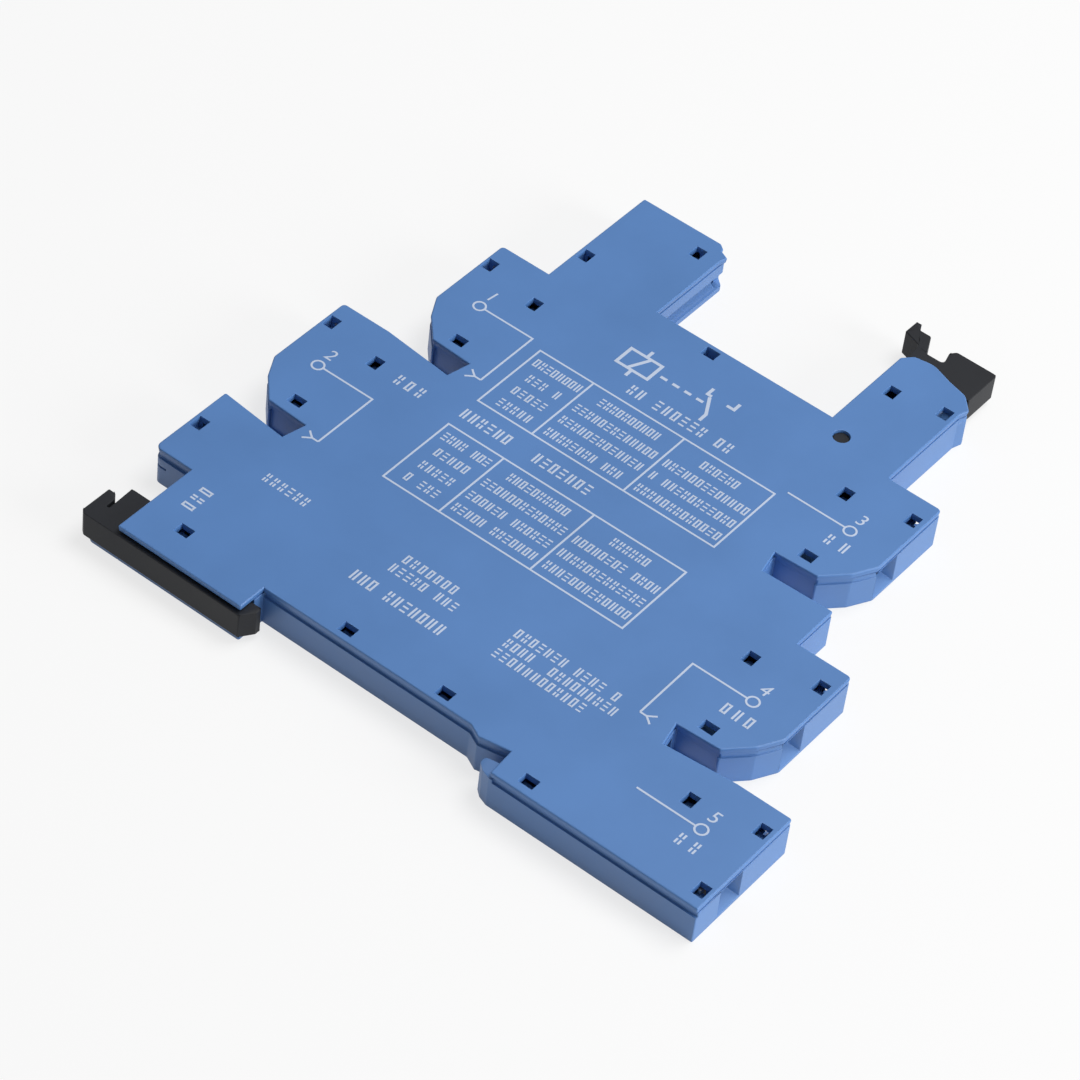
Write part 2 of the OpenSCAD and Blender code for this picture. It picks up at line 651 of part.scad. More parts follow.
// Coil side: the bar ends in a solder tail on the board
module coil_bar(t, via, tail) {
    y = t[1] - bar_y;
    start = screw_x(t) - t[2] * (cage_w / 2 + 0.6);
    path = concat([[start, y]], via);
    color("peru") union() {
        bar_tongue(t);
        plate(strip(path, bar_t), bar_z[0], bar_z[1]);
        plate(strip([path[len(path) - 1], tail], bar_t), part_on_board, bar_z[1]);
    }
}

// ---- board and its parts -----------------------------------------------------------------

lens_in = 6.4;
lens_x = lamp_arm_l + lens_in;
lens = [3.2, 2.4];                         // light guide across the arm and through its thickness
arm_board_l = lamp_arm_l + 2.5;
arm_board_r = lamp_pocket_x - rib_t - 1.2;
arm_board_y = lamp_arm_y - 3.2;
part_in = [7.0, 7.0, 5.5];                 // resistor, diode and capacitor from the board's left side
part_drop = [12.5, 18.2, 25];              // and below the bay's floor
resistor_c = [board_l + part_in[0], bay_y - part_drop[0]];
resistor_size = [5, 1.8];                  // length and diameter
lead_d = 0.6;
lead_span = 7;
diode_c = [board_l + part_in[1], bay_y - part_drop[1]];
diode_size = [4.2, 2.2, 2.2];
capacitor_c = [board_l + part_in[2], bay_y - part_drop[2]];
capacitor_size = [5, 2.6, 2.4];

module board() {
    top = bay_y - wall_t - 1.2;
    color("darkgreen") plate([[arm_board_l, front_high_y + 0.5], [arm_board_l, arm_board_y],
        [arm_board_r, arm_board_y], [arm_board_r, top], [board_r, top], [board_r, board_bottom],
        [board_l, board_bottom], [board_l, front_high_y + 0.5]], board_z[0], board_z[1]);
}

module coil_contact(x) {
    color("peru") union() {
        pin_socket(x, coil_z);
        block(x - 0.5, x + 0.5, socket_bottom - 2.6, socket_bottom - 0.6 + eps, part_on_board, coil_z[1] - 0.8);
    }
}

module led() {
    color("limegreen") union() {
        block(lens_x - 0.8, lens_x + 0.8, arm_board_y - 1.4, arm_board_y, part_on_board, mid_z + 0.8);
        along_y(lens_x, arm_board_y - eps, mid_z, 0.6, 0.7);
    }
}

module lens_seat(gap) {
    block(lens_x - lens[0] / 2 - gap, lens_x + lens[0] / 2 + gap, lamp_arm_y - wall_t - 0.6 - gap,
        lamp_arm_y + cut, mid_z - lens[1] / 2 - gap, mid_z + lens[1] / 2 + gap);
}

// Light guide with a crowned front and a flange inside the wall
module led_lens() {
    x = [lens_x - lens[0] / 2, lens_x + lens[0] / 2];
    z = [mid_z - lens[1] / 2, mid_z + lens[1] / 2];
    crown_r = 3.5;
    flange = 0.35;
    color("palegreen") union() {
        block(x[0], x[1], lamp_arm_y - wall_t - 0.5, lamp_arm_y - 0.1, z[0], z[1]);
        intersection() {
            block(x[0], x[1], lamp_arm_y - 0.1 - eps, lamp_arm_y + 0.5, z[0], z[1]);
            translate([lens_x, lamp_arm_y + 0.3 - crown_r, z[0]]) cylinder(r = crown_r, h = lens[1]);
        }
        block(x[0] - flange, x[1] + flange, lamp_arm_y - wall_t - 1.1, lamp_arm_y - wall_t - 0.5,
            z[0] - flange, z[1] + flange);
    }
}

// Lacquered body on two bent leads
module resistor() {
    x = resistor_c[0];
    y = resistor_c[1];
    axis_z = part_on_board + resistor_size[1] / 2 + 0.2;
    reach = lead_span / 2 + lead_d / 2;
    color("tan") union() {
        translate([x - resistor_size[0] / 2, y, axis_z]) rotate([0, 90, 0])
            cylinder(d = resistor_size[1], h = resistor_size[0]);
        for (s = [-1, 1])
            block(x + s * lead_span / 2 - lead_d / 2, x + s * lead_span / 2 + lead_d / 2, y - lead_d / 2,
                y + lead_d / 2, part_on_board, axis_z + lead_d / 2);
        block(x - reach, x + reach, y - lead_d / 2 + 0.05, y + lead_d / 2 - 0.05, axis_z - lead_d / 2,
            axis_z + lead_d / 2);
    }
}

// Moulded body with a flat tab at each end
module diode() {
    x = diode_c[0];
    y = diode_c[1];
    half = diode_size[0] / 2;
    tab = 0.8;
    color("#303030") union() {
        block(x - half, x + half, y - diode_size[1] / 2, y + diode_size[1] / 2, part_on_board,
            part_on_board + diode_size[2]);
        for (s = [-1, 1])
            block(x + s * (half + tab / 2) - tab / 2 - eps, x + s * (half + tab / 2) + tab / 2 + eps,
                y - 0.5, y + 0.5, part_on_board, part_on_board + 0.6);
    }
}

module capacitor() {
    x = capacitor_c[0];
    y = capacitor_c[1];
    color("#c89b5a") block(x - capacitor_size[0] / 2, x + capacitor_size[0] / 2, y - capacitor_size[1] / 2,
        y + capacitor_size[1] / 2, part_on_board, part_on_board + capacitor_size[2]);
}

// ---- nodes ---------------------------------------------------------------------------------

housing();
cover();
din_clip();
release_lever();
screw(TERMINALS[A1]);  // screw_a1
screw(TERMINALS[A2]);  // screw_a2
screw(TERMINALS[C14]);  // screw_14
screw(TERMINALS[C11]);  // screw_11
screw(TERMINALS[C12]);  // screw_12
cage(TERMINALS[A1]);  // cage_a1
cage(TERMINALS[A2]);  // cage_a2
cage(TERMINALS[C14]);  // cage_14
cage(TERMINALS[C11]);  // cage_11
cage(TERMINALS[C12]);  // cage_12
coil_bar(TERMINALS[A1], via_a1, [board_l + tail_in, tongue_high_y]);  // bar_a1
coil_bar(TERMINALS[A2], via_a2, [board_l + tail_in, coil_tail_y]);  // bar_a2
contact_bar(TERMINALS[C14], pins[4], [[pins[4], tongue_high_y]]);  // bar_14
contact_bar(TERMINALS[C11], pins[3], via_11);  // bar_11
contact_bar(TERMINALS[C12], pins[2], via_12);  // bar_12
coil_contact(pins[0]);  // coil_contact_1
coil_contact(pins[1]);  // coil_contact_2
board();
led();
led_lens();
resistor();
diode();
capacitor();
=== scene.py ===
"""Slim plug-in relay socket for a 35 mm rail: finishes, print, softened edges, stage and camera.

Laid out as a Blender add-on and run as a script. Lengths are metres unless a name says millimetres (mm).
"""

import math

import bmesh
import bpy
from mathutils import Matrix, Vector


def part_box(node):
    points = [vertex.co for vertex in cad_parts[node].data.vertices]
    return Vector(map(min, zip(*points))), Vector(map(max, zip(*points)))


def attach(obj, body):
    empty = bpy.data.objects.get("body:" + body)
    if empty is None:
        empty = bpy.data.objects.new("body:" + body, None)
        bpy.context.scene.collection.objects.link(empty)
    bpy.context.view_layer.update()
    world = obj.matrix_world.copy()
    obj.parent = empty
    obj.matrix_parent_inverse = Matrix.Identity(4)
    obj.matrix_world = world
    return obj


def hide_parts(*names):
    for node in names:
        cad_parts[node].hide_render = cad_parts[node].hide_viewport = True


bl_info = {
    "name": "Relay socket",
    "version": (1, 0, 0),
    "blender": (4, 5, 0),
    "location": "View3D > Sidebar > Socket",
    "description": "Dresses a slim relay socket: moulded shells, metal, print, studio",
    "category": "Object",
}

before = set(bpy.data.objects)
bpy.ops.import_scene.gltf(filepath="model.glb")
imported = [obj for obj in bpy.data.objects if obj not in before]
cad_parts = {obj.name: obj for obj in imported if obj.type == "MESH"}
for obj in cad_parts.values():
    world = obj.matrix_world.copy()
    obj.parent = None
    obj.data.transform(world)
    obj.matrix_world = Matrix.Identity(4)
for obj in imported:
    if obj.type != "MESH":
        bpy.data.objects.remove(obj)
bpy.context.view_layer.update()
MM = 0.001

TERMINALS = ("a1", "a2", "14", "11", "12")
CONTACT_NODES = ("bar_a1", "bar_a2", "bar_14", "bar_11", "bar_12", "coil_contact_1", "coil_contact_2")

COVER_LOW, COVER_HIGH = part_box("cover")
COVER_TOP = COVER_HIGH.z

# Lamps: place from the middle of the socket, and diameter
SOCKET_MIDDLE = Vector((0.0, 30.0, 0.0)) * MM
LAMPS = {"side": ((0.862, 0.152, 0.284), 0.45), "top": ((0.194, 0.337, 0.834), 0.55)}
CAMERA_AIM = Vector((-0.002, 0.03155, COVER_TOP))
FLOOR_REACH = 3.0

# Rounding: points closer than MERGE join first; edges bent by more than BENT get rounded; the others, in degrees,
# say what counts as flat and where shading breaks
MERGE = 0.025 * MM
BENT, FLAT, SHARP = 32, 0.5, 28

# The cover's side: the seam's height and where its ledge meets the side, from the underside
SEAM_HEIGHT, SEAM_LEDGE = 0.13 * MM, 0.17 * MM
# Flat rings kept inside the rounded rims of the cover and its windows
RIM_BAND, WINDOW_BAND = 0.01 * MM, 0.02 * MM
RIM_STEPS, WINDOW_STEPS = 5, 2

# Snap catches: underside from the cover's top, top from its underside, reach past the window, slope and edge
CATCH_FOOT, CATCH_TOP, CATCH_REACH = 2.8 * MM, 0.75 * MM, 0.2 * MM
CATCH_SLOPE, CATCH_EDGE = 0.3 * MM, 0.06 * MM

# Pocket low in the lamp arm's side, millimetres in X, Y and Z, and how deep its hollow slope runs
POCKET = (-20.08, -17.25, 76.52, 90.82, 0.92, 3.38)
COVE_RUN = 1.5 * MM
COVE_STEPS = 12

# Finish of each small part on the board: material, colour, roughness range and tone
BOARD_PARTS = {
    "resistor": ("Resistor lacquer", (0.52, 0.36, 0.2), (0.25, 0.4), 0.15),
    "diode": ("Epoxy moulding", (0.02, 0.02, 0.022), (0.45, 0.6), 0.2),
    "capacitor": ("Capacitor ceramic", (0.46, 0.28, 0.13), (0.4, 0.55), 0.15),
    "led": ("Light resin", (0.2, 0.55, 0.22), (0.12, 0.2), 0.1),
}


# ---- settings ---------------------------------------------------------------------


def colour(name, description, value):
    return bpy.props.FloatVectorProperty(
        name=name, description=description, subtype="COLOR", size=3, min=0.0, max=1.0, default=value
    )


def length(name, description, value, low=0.0, high=0.1):
    return bpy.props.FloatProperty(
        name=name, description=description, subtype="DISTANCE", unit="LENGTH",
        min=low, max=high, default=value, precision=5,
    )


def number(name, description, value, low=0.0, high=100.0):
    return bpy.props.FloatProperty(name=name, description=description, min=low, max=high, default=value)


def angle(name, description, degrees):
    return bpy.props.FloatProperty(
        name=name, description=description, subtype="ANGLE", default=math.radians(degrees)
    )


class SOCKET_PG_colours(bpy.types.PropertyGroup):
    """Colours of the socket's plastics, metals and print."""

    shell: colour("Shell", "Blue of the moulded tub and its cover", (0.083, 0.208, 0.485))
    black: colour("Black parts", "Rail clip and release lever", (0.010, 0.0115, 0.0155))
    printing: colour("Print", "Pale pad print on the cover", (0.52, 0.60, 0.75))
    zinc: colour("Zinc", "Plated terminal screws and clamp cages", (0.66, 0.65, 0.61))
    brass: colour("Contact brass", "Contact bars and pin sockets", (0.72, 0.50, 0.26))
    laminate: colour("Laminate", "Solder mask of the circuit board", (0.025, 0.16, 0.06))
    solder: colour("Solder", "Solder joints on the board", (0.55, 0.56, 0.57))
    lens: colour("Lens", "Light guide in the lamp arm", (0.45, 0.72, 0.50))
    floor: colour("Floor", "Studio floor", (0.86, 0.86, 0.86))


class SOCKET_PG_sizes(bpy.types.PropertyGroup):
    """Small sizes that the solids leave to the finish."""

    tub_edge: length("Tub edge", "Rounding of the tub's edges", 0.06 * MM, 0.0, 0.1 * MM)
    cover_edge: length("Cover edge", "Rounding of the cover's upper rim", 0.20 * MM, 0.1 * MM, 0.5 * MM)
    cover_draft: length("Cover draft", "Lean of the cover's sides", 0.10 * MM, 0.0, 0.2 * MM)
    seam: length("Seam", "Depth of the shadow gap under the cover", 0.23 * MM, 0.0, 0.3 * MM)
    window_edge: length("Window edge", "Rounding of the snap windows' rims", 0.06 * MM, 0.0, 0.2 * MM)
    black_edge: length("Black part edge", "Rounding of the clip's and lever's edges", 0.12 * MM, 0.0, 0.2 * MM)
    ink: length("Ink", "Height of the print above the cover", 0.012 * MM, 0.0, 0.05 * MM)
    stroke: length("Stroke", "Width of the printed lines", 0.28 * MM, 0.1 * MM, 0.6 * MM)
    ring: length("Ring", "Radius of the printed terminal rings", 0.86 * MM, 0.4 * MM, 1.5 * MM)
    numeral: length("Numeral", "Height of the printed terminal numbers", 2.1 * MM, 1.0 * MM, 4.0 * MM)


class SOCKET_PG_studio(bpy.types.PropertyGroup):
    """Camera, lamps and floor."""

    lens_mm: number("Lens", "Focal length in millimetres", 143.9, 20.0, 300.0)
    distance: length("Distance", "Camera to the middle of the cover", 0.552, 0.2, 3.0)
    azimuth: angle("Azimuth", "Turn of the view about Z", 33.13)
    elevation: angle("Elevation", "Height of the view above the floor", 45.30)
    roll: angle("Roll", "Turn of the picture about the view axis", -7.43)
    side: number("Side", "Power of the low lamp at the right in watts", 5.7)
    top: number("Top", "Power of the high lamp in watts", 5.7)
    sky: number("Sky", "Strength of the even surround light", 0.2, 0.0, 2.0)
    gloss_sky: number("Gloss sky", "Surround as reflections see it", 0.5, 0.0, 2.0)
    floor_white: number("Floor white", "Share of plain white in the floor as the camera sees it", 0.75, 0.0, 1.0)


# ---- shader building blocks ----------------------------------------------------------


def new_group(name, inputs, outputs):
    """An empty shader node group with named sockets."""
    group = bpy.data.node_groups.new(name, "ShaderNodeTree")
    for label, kind, value in inputs:
        socket = group.interface.new_socket(name=label, in_out="INPUT", socket_type=kind)
        if value is not None:
            socket.default_value = value
    for label, kind in outputs:
        group.interface.new_socket(name=label, in_out="OUTPUT", socket_type=kind)
    return group, group.nodes.new("NodeGroupInput"), group.nodes.new("NodeGroupOutput")


def noise(nodes, links, coordinates, scale, detail=2.0, roughness=0.5):
    """A noise texture on the given coordinates; scale is a number or a socket."""
    node = nodes.new("ShaderNodeTexNoise")
    node.inputs["Detail"].default_value = detail
    node.inputs["Roughness"].default_value = roughness
    links.new(coordinates, node.inputs["Vector"])
    if isinstance(scale, (int, float)):
        node.inputs["Scale"].default_value = scale
    else:
        links.new(scale, node.inputs["Scale"])
    return node.outputs["Fac"]


def maths(nodes, links, operation, a, b):
    node = nodes.new("ShaderNodeMath")
    node.operation = operation
    for socket, value in zip(node.inputs, (a, b)):
        if isinstance(value, (int, float)):
            socket.default_value = value
        else:
            links.new(value, socket)
    return node.outputs[0]


def moulded_grain(name):
    """Spark-eroded grain of a moulded plastic, with slow flow shading."""
    group, entry, exit_ = new_group(
        name,
        [("Coordinates", "NodeSocketVector", None), ("Grain", "NodeSocketFloat", 9000.0),
         ("Flow", "NodeSocketFloat", 60.0)],
        [("Height", "NodeSocketFloat"), ("Flow", "NodeSocketFloat"), ("Speck", "NodeSocketFloat")],
    )
    nodes, links = group.nodes, group.links
    fine = noise(nodes, links, entry.outputs["Coordinates"], entry.outputs["Grain"], 3.0, 0.6)
    slow = noise(nodes, links, entry.outputs["Coordinates"], entry.outputs["Flow"], 4.0, 0.55)
    cells = nodes.new("ShaderNodeTexVoronoi")
    links.new(entry.outputs["Coordinates"], cells.inputs["Vector"])
    links.new(maths(nodes, links, "MULTIPLY", entry.outputs["Grain"], 0.6), cells.inputs["Scale"])
    pits = maths(nodes, links, "MULTIPLY", cells.outputs["Distance"], 0.5)
    links.new(maths(nodes, links, "ADD", fine, pits), exit_.inputs["Height"])
    links.new(slow, exit_.inputs["Flow"])
    links.new(fine, exit_.inputs["Speck"])
    return group


def drawn_metal(name):
    """Lines left in metal by drawing or rolling, along one axis of the coordinates."""
    group, entry, exit_ = new_group(
        name,
        [("Coordinates", "NodeSocketVector", None), ("Lines", "NodeSocketFloat", 4000.0)],
        [("Height", "NodeSocketFloat"), ("Tarnish", "NodeSocketFloat")],
    )
    nodes, links = group.nodes, group.links
    stretch = nodes.new("ShaderNodeMapping")
    stretch.inputs["Scale"].default_value = (1.0, 0.04, 1.0)
    links.new(entry.outputs["Coordinates"], stretch.inputs["Vector"])
    lines = noise(nodes, links, stretch.outputs["Vector"], entry.outputs["Lines"], 3.0, 0.6)
    slow = noise(nodes, links, entry.outputs["Coordinates"], 350.0, 3.0, 0.6)
    links.new(lines, exit_.inputs["Height"])
    links.new(slow, exit_.inputs["Tarnish"])
    return group


def start_material(name):
    material = bpy.data.materials.new(name)
    material.use_nodes = True
    nodes, links = material.node_tree.nodes, material.node_tree.links
    shader = nodes["Principled BSDF"]
    place = nodes.new("ShaderNodeTexCoord").outputs["Object"]
    return material, nodes, links, shader, place


def add_group(nodes, links, group, place, **values):
    node = nodes.new("ShaderNodeGroup")
    node.node_tree = group
    links.new(place, node.inputs["Coordinates"])
    for label, value in values.items():
        node.inputs[label].default_value = value
    return node


def ramp(nodes, links, factor, low, high, from_low=0.3, from_high=0.7):
    """Maps a factor to a range of values."""
    node = nodes.new("ShaderNodeMapRange")
    node.inputs["From Min"].default_value = from_low
    node.inputs["From Max"].default_value = from_high
    node.inputs["To Min"].default_value = low
    node.inputs["To Max"].default_value = high
    links.new(factor, node.inputs["Value"])
    return node.outputs["Result"]


def shade(nodes, links, factor, dark, pale):
    """A colour between two by a factor."""
    node = nodes.new("ShaderNodeMix")
    node.data_type = "RGBA"
    node.inputs["A"].default_value = (*dark, 1.0)
    node.inputs["B"].default_value = (*pale, 1.0)
    links.new(factor, node.inputs["Factor"])
    return node.outputs["Result"]


def bump(nodes, links, shader, height, strength, depth):
    node = nodes.new("ShaderNodeBump")
    node.inputs["Strength"].default_value = strength
    node.inputs["Distance"].default_value = depth
    links.new(height, node.inputs["Height"])
    links.new(node.outputs["Normal"], shader.inputs["Normal"])


def plastic(name, base, grain, rough=(0.38, 0.5), tone=0.06, depth=0.006 * MM, specular=0.5, size=9000.0):
    """Moulded plastic: fine grain, slow flow shading and gloss that drifts a little."""
    material, nodes, links, shader, place = start_material(name)
    mould = add_group(nodes, links, grain, place, Grain=size)
    dark = [c * (1 - tone) for c in base]
    pale = [min(1.0, c * (1 + tone)) for c in base]
    mix = ramp(nodes, links, mould.outputs["Flow"], 0.0, 1.0)
    links.new(shade(nodes, links, mix, dark, pale), shader.inputs["Base Color"])
    links.new(ramp(nodes, links, mould.outputs["Flow"], *rough), shader.inputs["Roughness"])
    shader.inputs["Specular IOR Level"].default_value = specular
    bump(nodes, links, shader, mould.outputs["Height"], 0.5, depth)
    return material


def metal(name, base, lines, rough=(0.25, 0.42), tarnish=0.12, size=4000.0):
    """Plated or rolled metal with drawing lines and faint tarnish."""
    material, nodes, links, shader, place = start_material(name)
    drawn = add_group(nodes, links, lines, place, Lines=size)
    dark = [c * (1 - tarnish) for c in base]
    mix = ramp(nodes, links, drawn.outputs["Tarnish"], 0.0, 1.0)
    links.new(shade(nodes, links, mix, dark, base), shader.inputs["Base Color"])
    links.new(ramp(nodes, links, drawn.outputs["Height"], *rough), shader.inputs["Roughness"])
    shader.inputs["Metallic"].default_value = 1.0
    bump(nodes, links, shader, drawn.outputs["Height"], 0.35, 0.004 * MM)
    return material


def shared(name, build):
    """A node group or tree made once and found again by name."""
    return bpy.data.node_groups.get(name) or build(name)


# ---- mesh building blocks --------------------------------------------------------------


def add_object(name, mesh, material, body):
    """A finished piece: linked, finished with one material, riding on a body."""
    piece = bpy.data.objects.new(name, mesh)
    bpy.context.scene.collection.objects.link(piece)
    piece.data.materials.clear()
    piece.data.materials.append(material)
    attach(piece, body)
    return piece


def baked(piece):
    """The piece's mesh with its modifiers applied."""
    graph = bpy.context.evaluated_depsgraph_get()
    return bpy.data.meshes.new_from_object(piece.evaluated_get(graph), depsgraph=graph)


def smooth(mesh, degrees):
    """Smooth shading, broken where faces meet more sharply than an angle."""
    for face in mesh.polygons:
        face.use_smooth = True
    mesh.set_sharp_from_angle(angle=math.radians(degrees))


def skin(form, lower, upper):
    """Faces between two rings with the same number of points."""
    for i in range(len(lower)):
        j = (i + 1) % len(lower)
        form.faces.new((lower[i], lower[j], upper[j], upper[i]))


def prism(form, lower, upper):
    """A closed body between two rings of places."""
    bottom, top = [[form.verts.new(place) for place in ring] for ring in (lower, upper)]
    form.faces.new(top)
    form.faces.new(bottom[::-1])
    skin(form, bottom, top)


def closed_mesh(form, name):
    """The mesh of a finished form, with its normals outward."""
    bmesh.ops.recalc_face_normals(form, faces=form.faces)
    mesh = bpy.data.meshes.new(name)
    form.to_mesh(mesh)
    form.free()
    return mesh


def dress(node, material):
    """Gives a CAD node its finish."""
    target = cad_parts[node]
    target.data.materials.clear()
    target.data.materials.append(material)


def softened(node, name, material, body, width):
    """A copy of a CAD node with its sharp edges rounded, shown in the node's place while the node is hidden."""
    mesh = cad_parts[node].data.copy()
    form = bmesh.new()
    form.from_mesh(mesh)
    bmesh.ops.remove_doubles(form, verts=form.verts, dist=MERGE)
    bmesh.ops.dissolve_limit(form, angle_limit=math.radians(FLAT), verts=form.verts, edges=form.edges)
    bmesh.ops.triangulate(form, faces=[f for f in form.faces if len(f.verts) > 4])
    form.to_mesh(mesh)
    form.free()
    piece = bpy.data.objects.new(name, mesh)
    bpy.context.scene.collection.objects.link(piece)
    rounding = piece.modifiers.new("Rounding", "BEVEL")
    rounding.width = width
    rounding.segments = 2
    rounding.limit_method = "ANGLE"
    rounding.angle_limit = math.radians(BENT)
    rounding.use_clamp_overlap = False
    rounding.miter_outer = "MITER_ARC"
    bpy.context.view_layer.update()
    finished = baked(piece)
    piece.modifiers.clear()
    piece.data = finished
    low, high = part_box(node)
    for vertex in finished.vertices:
        vertex.co = [min(max(c, a), b) for c, a, b in zip(vertex.co, low, high)]
    smooth(finished, SHARP)
    flatness = piece.modifiers.new("Flat faces", "WEIGHTED_NORMAL")
    flatness.mode = "FACE_AREA"
    flatness.weight = 100
    flatness.keep_sharp = True
    bpy.context.view_layer.update()
    finished = baked(piece)
    piece.modifiers.clear()
    piece.data = finished
    finished.materials.clear()
    finished.materials.append(material)
    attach(piece, body)
    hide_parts(node)
    return piece


def plane_loops(node, height):
    """Outlines of a node's flat face at a height, as closed loops of points."""
    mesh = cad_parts[node].data.copy()
    form = bmesh.new()
    form.from_mesh(mesh)
    bmesh.ops.remove_doubles(form, verts=form.verts, dist=1e-6)
    flat = [f for f in form.faces if all(abs(v.co.z - height) < 1e-6 for v in f.verts)]
    inside = set(flat)
    border = {}
    for face in flat:
        for loop in face.loops:
            others = [f for f in loop.edge.link_faces if f in inside]
            if len(others) == 1:
                border[loop.vert.index] = loop.link_loop_next.vert.index
    places = {v.index: v.co.copy() for v in form.verts}
    form.free()
    bpy.data.meshes.remove(mesh)
    loops = []
    while border:
        start = next(iter(border))
        path = [start]
        while path[-1] in border:
            step = border.pop(path[-1])
            if step == start:
                break
            path.append(step)
        loops.append([places[i] for i in path])
    return loops


def fewer_points(loop):
    """Drops points in the middle of straight runs."""
    bend = math.radians(FLAT)
    kept = []
    for i, point in enumerate(loop):
        before, after = loop[i - 1], loop[(i + 1) % len(loop)]
        if (point - before).angle(after - point, 0.0) > bend:
            kept.append(point)
    return kept


def loop_area(loop):
    """Signed area of a closed loop seen from above."""
    return 0.5 * sum(a.x * b.y - b.x * a.y for a, b in zip(loop, loop[1:] + loop[:1]))


def quarter_turn(steps):
    return [math.pi / 2 * i / steps for i in range(steps + 1)]


def rounded_edge(radius, high, steps):
    """Profile of a rounded upper edge: pairs of inset and height."""
    return [(radius * (1 - math.cos(t)), high - radius * (1 - math.sin(t))) for t in quarter_turn(steps)]


def moved_in(loop, distance):
    """A loop moved towards the material on its left; runs that would turn back shrink to a point."""
    count = len(loop)
    sides = [(loop[(i + 1) % count] - loop[i]).to_2d().normalized() for i in range(count)]
    points = []
    for i in range(count):
        a, b = sides[i - 1], sides[i]
        na, nb = Vector((-a.y, a.x)), Vector((-b.y, b.x))
        points.append(loop[i].to_2d() + (na + nb) / (1 + na.dot(nb)) * distance)
    turned = [(points[(i + 1) % count] - points[i]).dot(sides[i]) <= 0 for i in range(count)]
    i = 0
    while i < count:
        if turned[i] and not turned[i - 1]:
            run = [i]
            while turned[run[-1] % count]:
                run.append(run[-1] + 1)
            middle = sum((points[k % count] for k in run), Vector((0.0, 0.0))) / len(run)
            for k in run:
                points[k % count] = middle
            i = run[-1]
        i += 1
    return points


def plate_from_loops(name, loops, own_profiles, profile):
    """A plate whose every loop carries a rim profile: pairs of inset and height, from below upwards."""
    form = bmesh.new()
    ends = {0: [], -1: []}
    for loop in loops:
        rings = []
        for inset, z in own_profiles.get(id(loop), profile):
            rings.append([form.verts.new((q.x / MM, q.y / MM, z / MM)) for q in moved_in(loop, inset)])
        for lower, upper in zip(rings, rings[1:]):
            skin(form, lower, upper)
        for end in ends:
            ends[end].append(rings[end])
    bmesh.ops.remove_doubles(form, verts=form.verts, dist=0.002)
    for end, rings in ends.items():
        kept = {v for ring in rings for v in ring if v.is_valid}
        rim = [e for e in form.edges if e.is_boundary and e.verts[0] in kept and e.verts[1] in kept]
        bmesh.ops.triangle_fill(form, edges=rim, use_beauty=True, use_dissolve=False)
    bmesh.ops.scale(form, vec=(MM, MM, MM), verts=form.verts)
    mesh = closed_mesh(form, name)
    smooth(mesh, BENT)
    return mesh


class Ink:
    """Flat printed shapes gathered into one mesh on the cover."""

    def __init__(self, low, high):
        self.form = bmesh.new()
        self.low, self.high = low, high
        self.strokes = 0

    def face(self, points):
        """One printed patch, raised by a hair more than the last so that crossing strokes don't share a plane."""
        self.strokes = (self.strokes + 1) % 23
        top = self.high + self.strokes * 0.0003 * MM
        prism(self.form, [(x, y, self.low) for x, y in points], [(x, y, top) for x, y in points])

    def line(self, points, width, closed=False):
        """A stroke along points, mitred at its corners."""
        count = len(points)
        sides = []
        for i, p in enumerate(points):
            before = points[i - 1] if closed or i else None
            after = points[(i + 1) % count] if closed or i < count - 1 else None
            d0 = (Vector(p) - Vector(before)).normalized() if before is not None else None
            d1 = (Vector(after) - Vector(p)).normalized() if after is not None else None
            d0, d1 = d0 or d1, d1 or d0
            n0, n1 = Vector((-d0.y, d0.x)), Vector((-d1.y, d1.x))
            offset = (n0 + n1) / (1 + n0.dot(n1)) * width / 2
            sides.append((Vector(p) + offset, Vector(p) - offset))
        for i in range(count if closed else count - 1):
            a, b = sides[i], sides[(i + 1) % count]
            self.face([tuple(b[0]), tuple(a[0]), tuple(a[1]), tuple(b[1])])

    def path(self, points, width, closed=False):
        """A stroke along points given in millimetres."""
        self.line([(x * MM, y * MM) for x, y in points], width, closed)

    def ring(self, centre, radius, width, steps=32):
        turn = [2 * math.pi * i / steps for i in range(steps)]
        x, y = centre
        self.line([(x + radius * math.cos(t), y + radius * math.sin(t)) for t in turn], width, True)

    def mesh(self, name):
        return closed_mesh(self.form, name)


# ---- Geometry Nodes --------------------------------------------------------------------


def new_tree(name, inputs):
    """An empty Geometry Nodes tree with named inputs."""
    tree = bpy.data.node_groups.new(name, "GeometryNodeTree")
    tree.interface.new_socket(name="Geometry", in_out="INPUT", socket_type="NodeSocketGeometry")
    for label, kind, value in inputs:
        socket = tree.interface.new_socket(name=label, in_out="INPUT", socket_type=kind)
        if value is not None:
            socket.default_value = value
    tree.interface.new_socket(name="Geometry", in_out="OUTPUT", socket_type="NodeSocketGeometry")
    return tree, tree.nodes.new("NodeGroupInput").outputs, tree.nodes.new("NodeGroupOutput").inputs


def finish_tree(tree, instances, material, result):
    """Realize Instances and Set Material, then the tree's output."""
    realize = tree.nodes.new("GeometryNodeRealizeInstances")
    paint = tree.nodes.new("GeometryNodeSetMaterial")
    tree.links.new(instances, realize.inputs["Geometry"])
    tree.links.new(realize.outputs["Geometry"], paint.inputs["Geometry"])
    tree.links.new(material, paint.inputs["Material"])
    tree.links.new(paint.outputs["Geometry"], result)


def bar_shape(tree, centre, size):
    """A small box as part of an instance."""
    box = tree.nodes.new("GeometryNodeMeshCube")
    box.inputs["Size"].default_value = size
    move = tree.nodes.new("GeometryNodeTransform")
    move.inputs["Translation"].default_value = centre
    tree.links.new(box.outputs["Mesh"], move.inputs["Geometry"])
    return move.outputs["Geometry"]


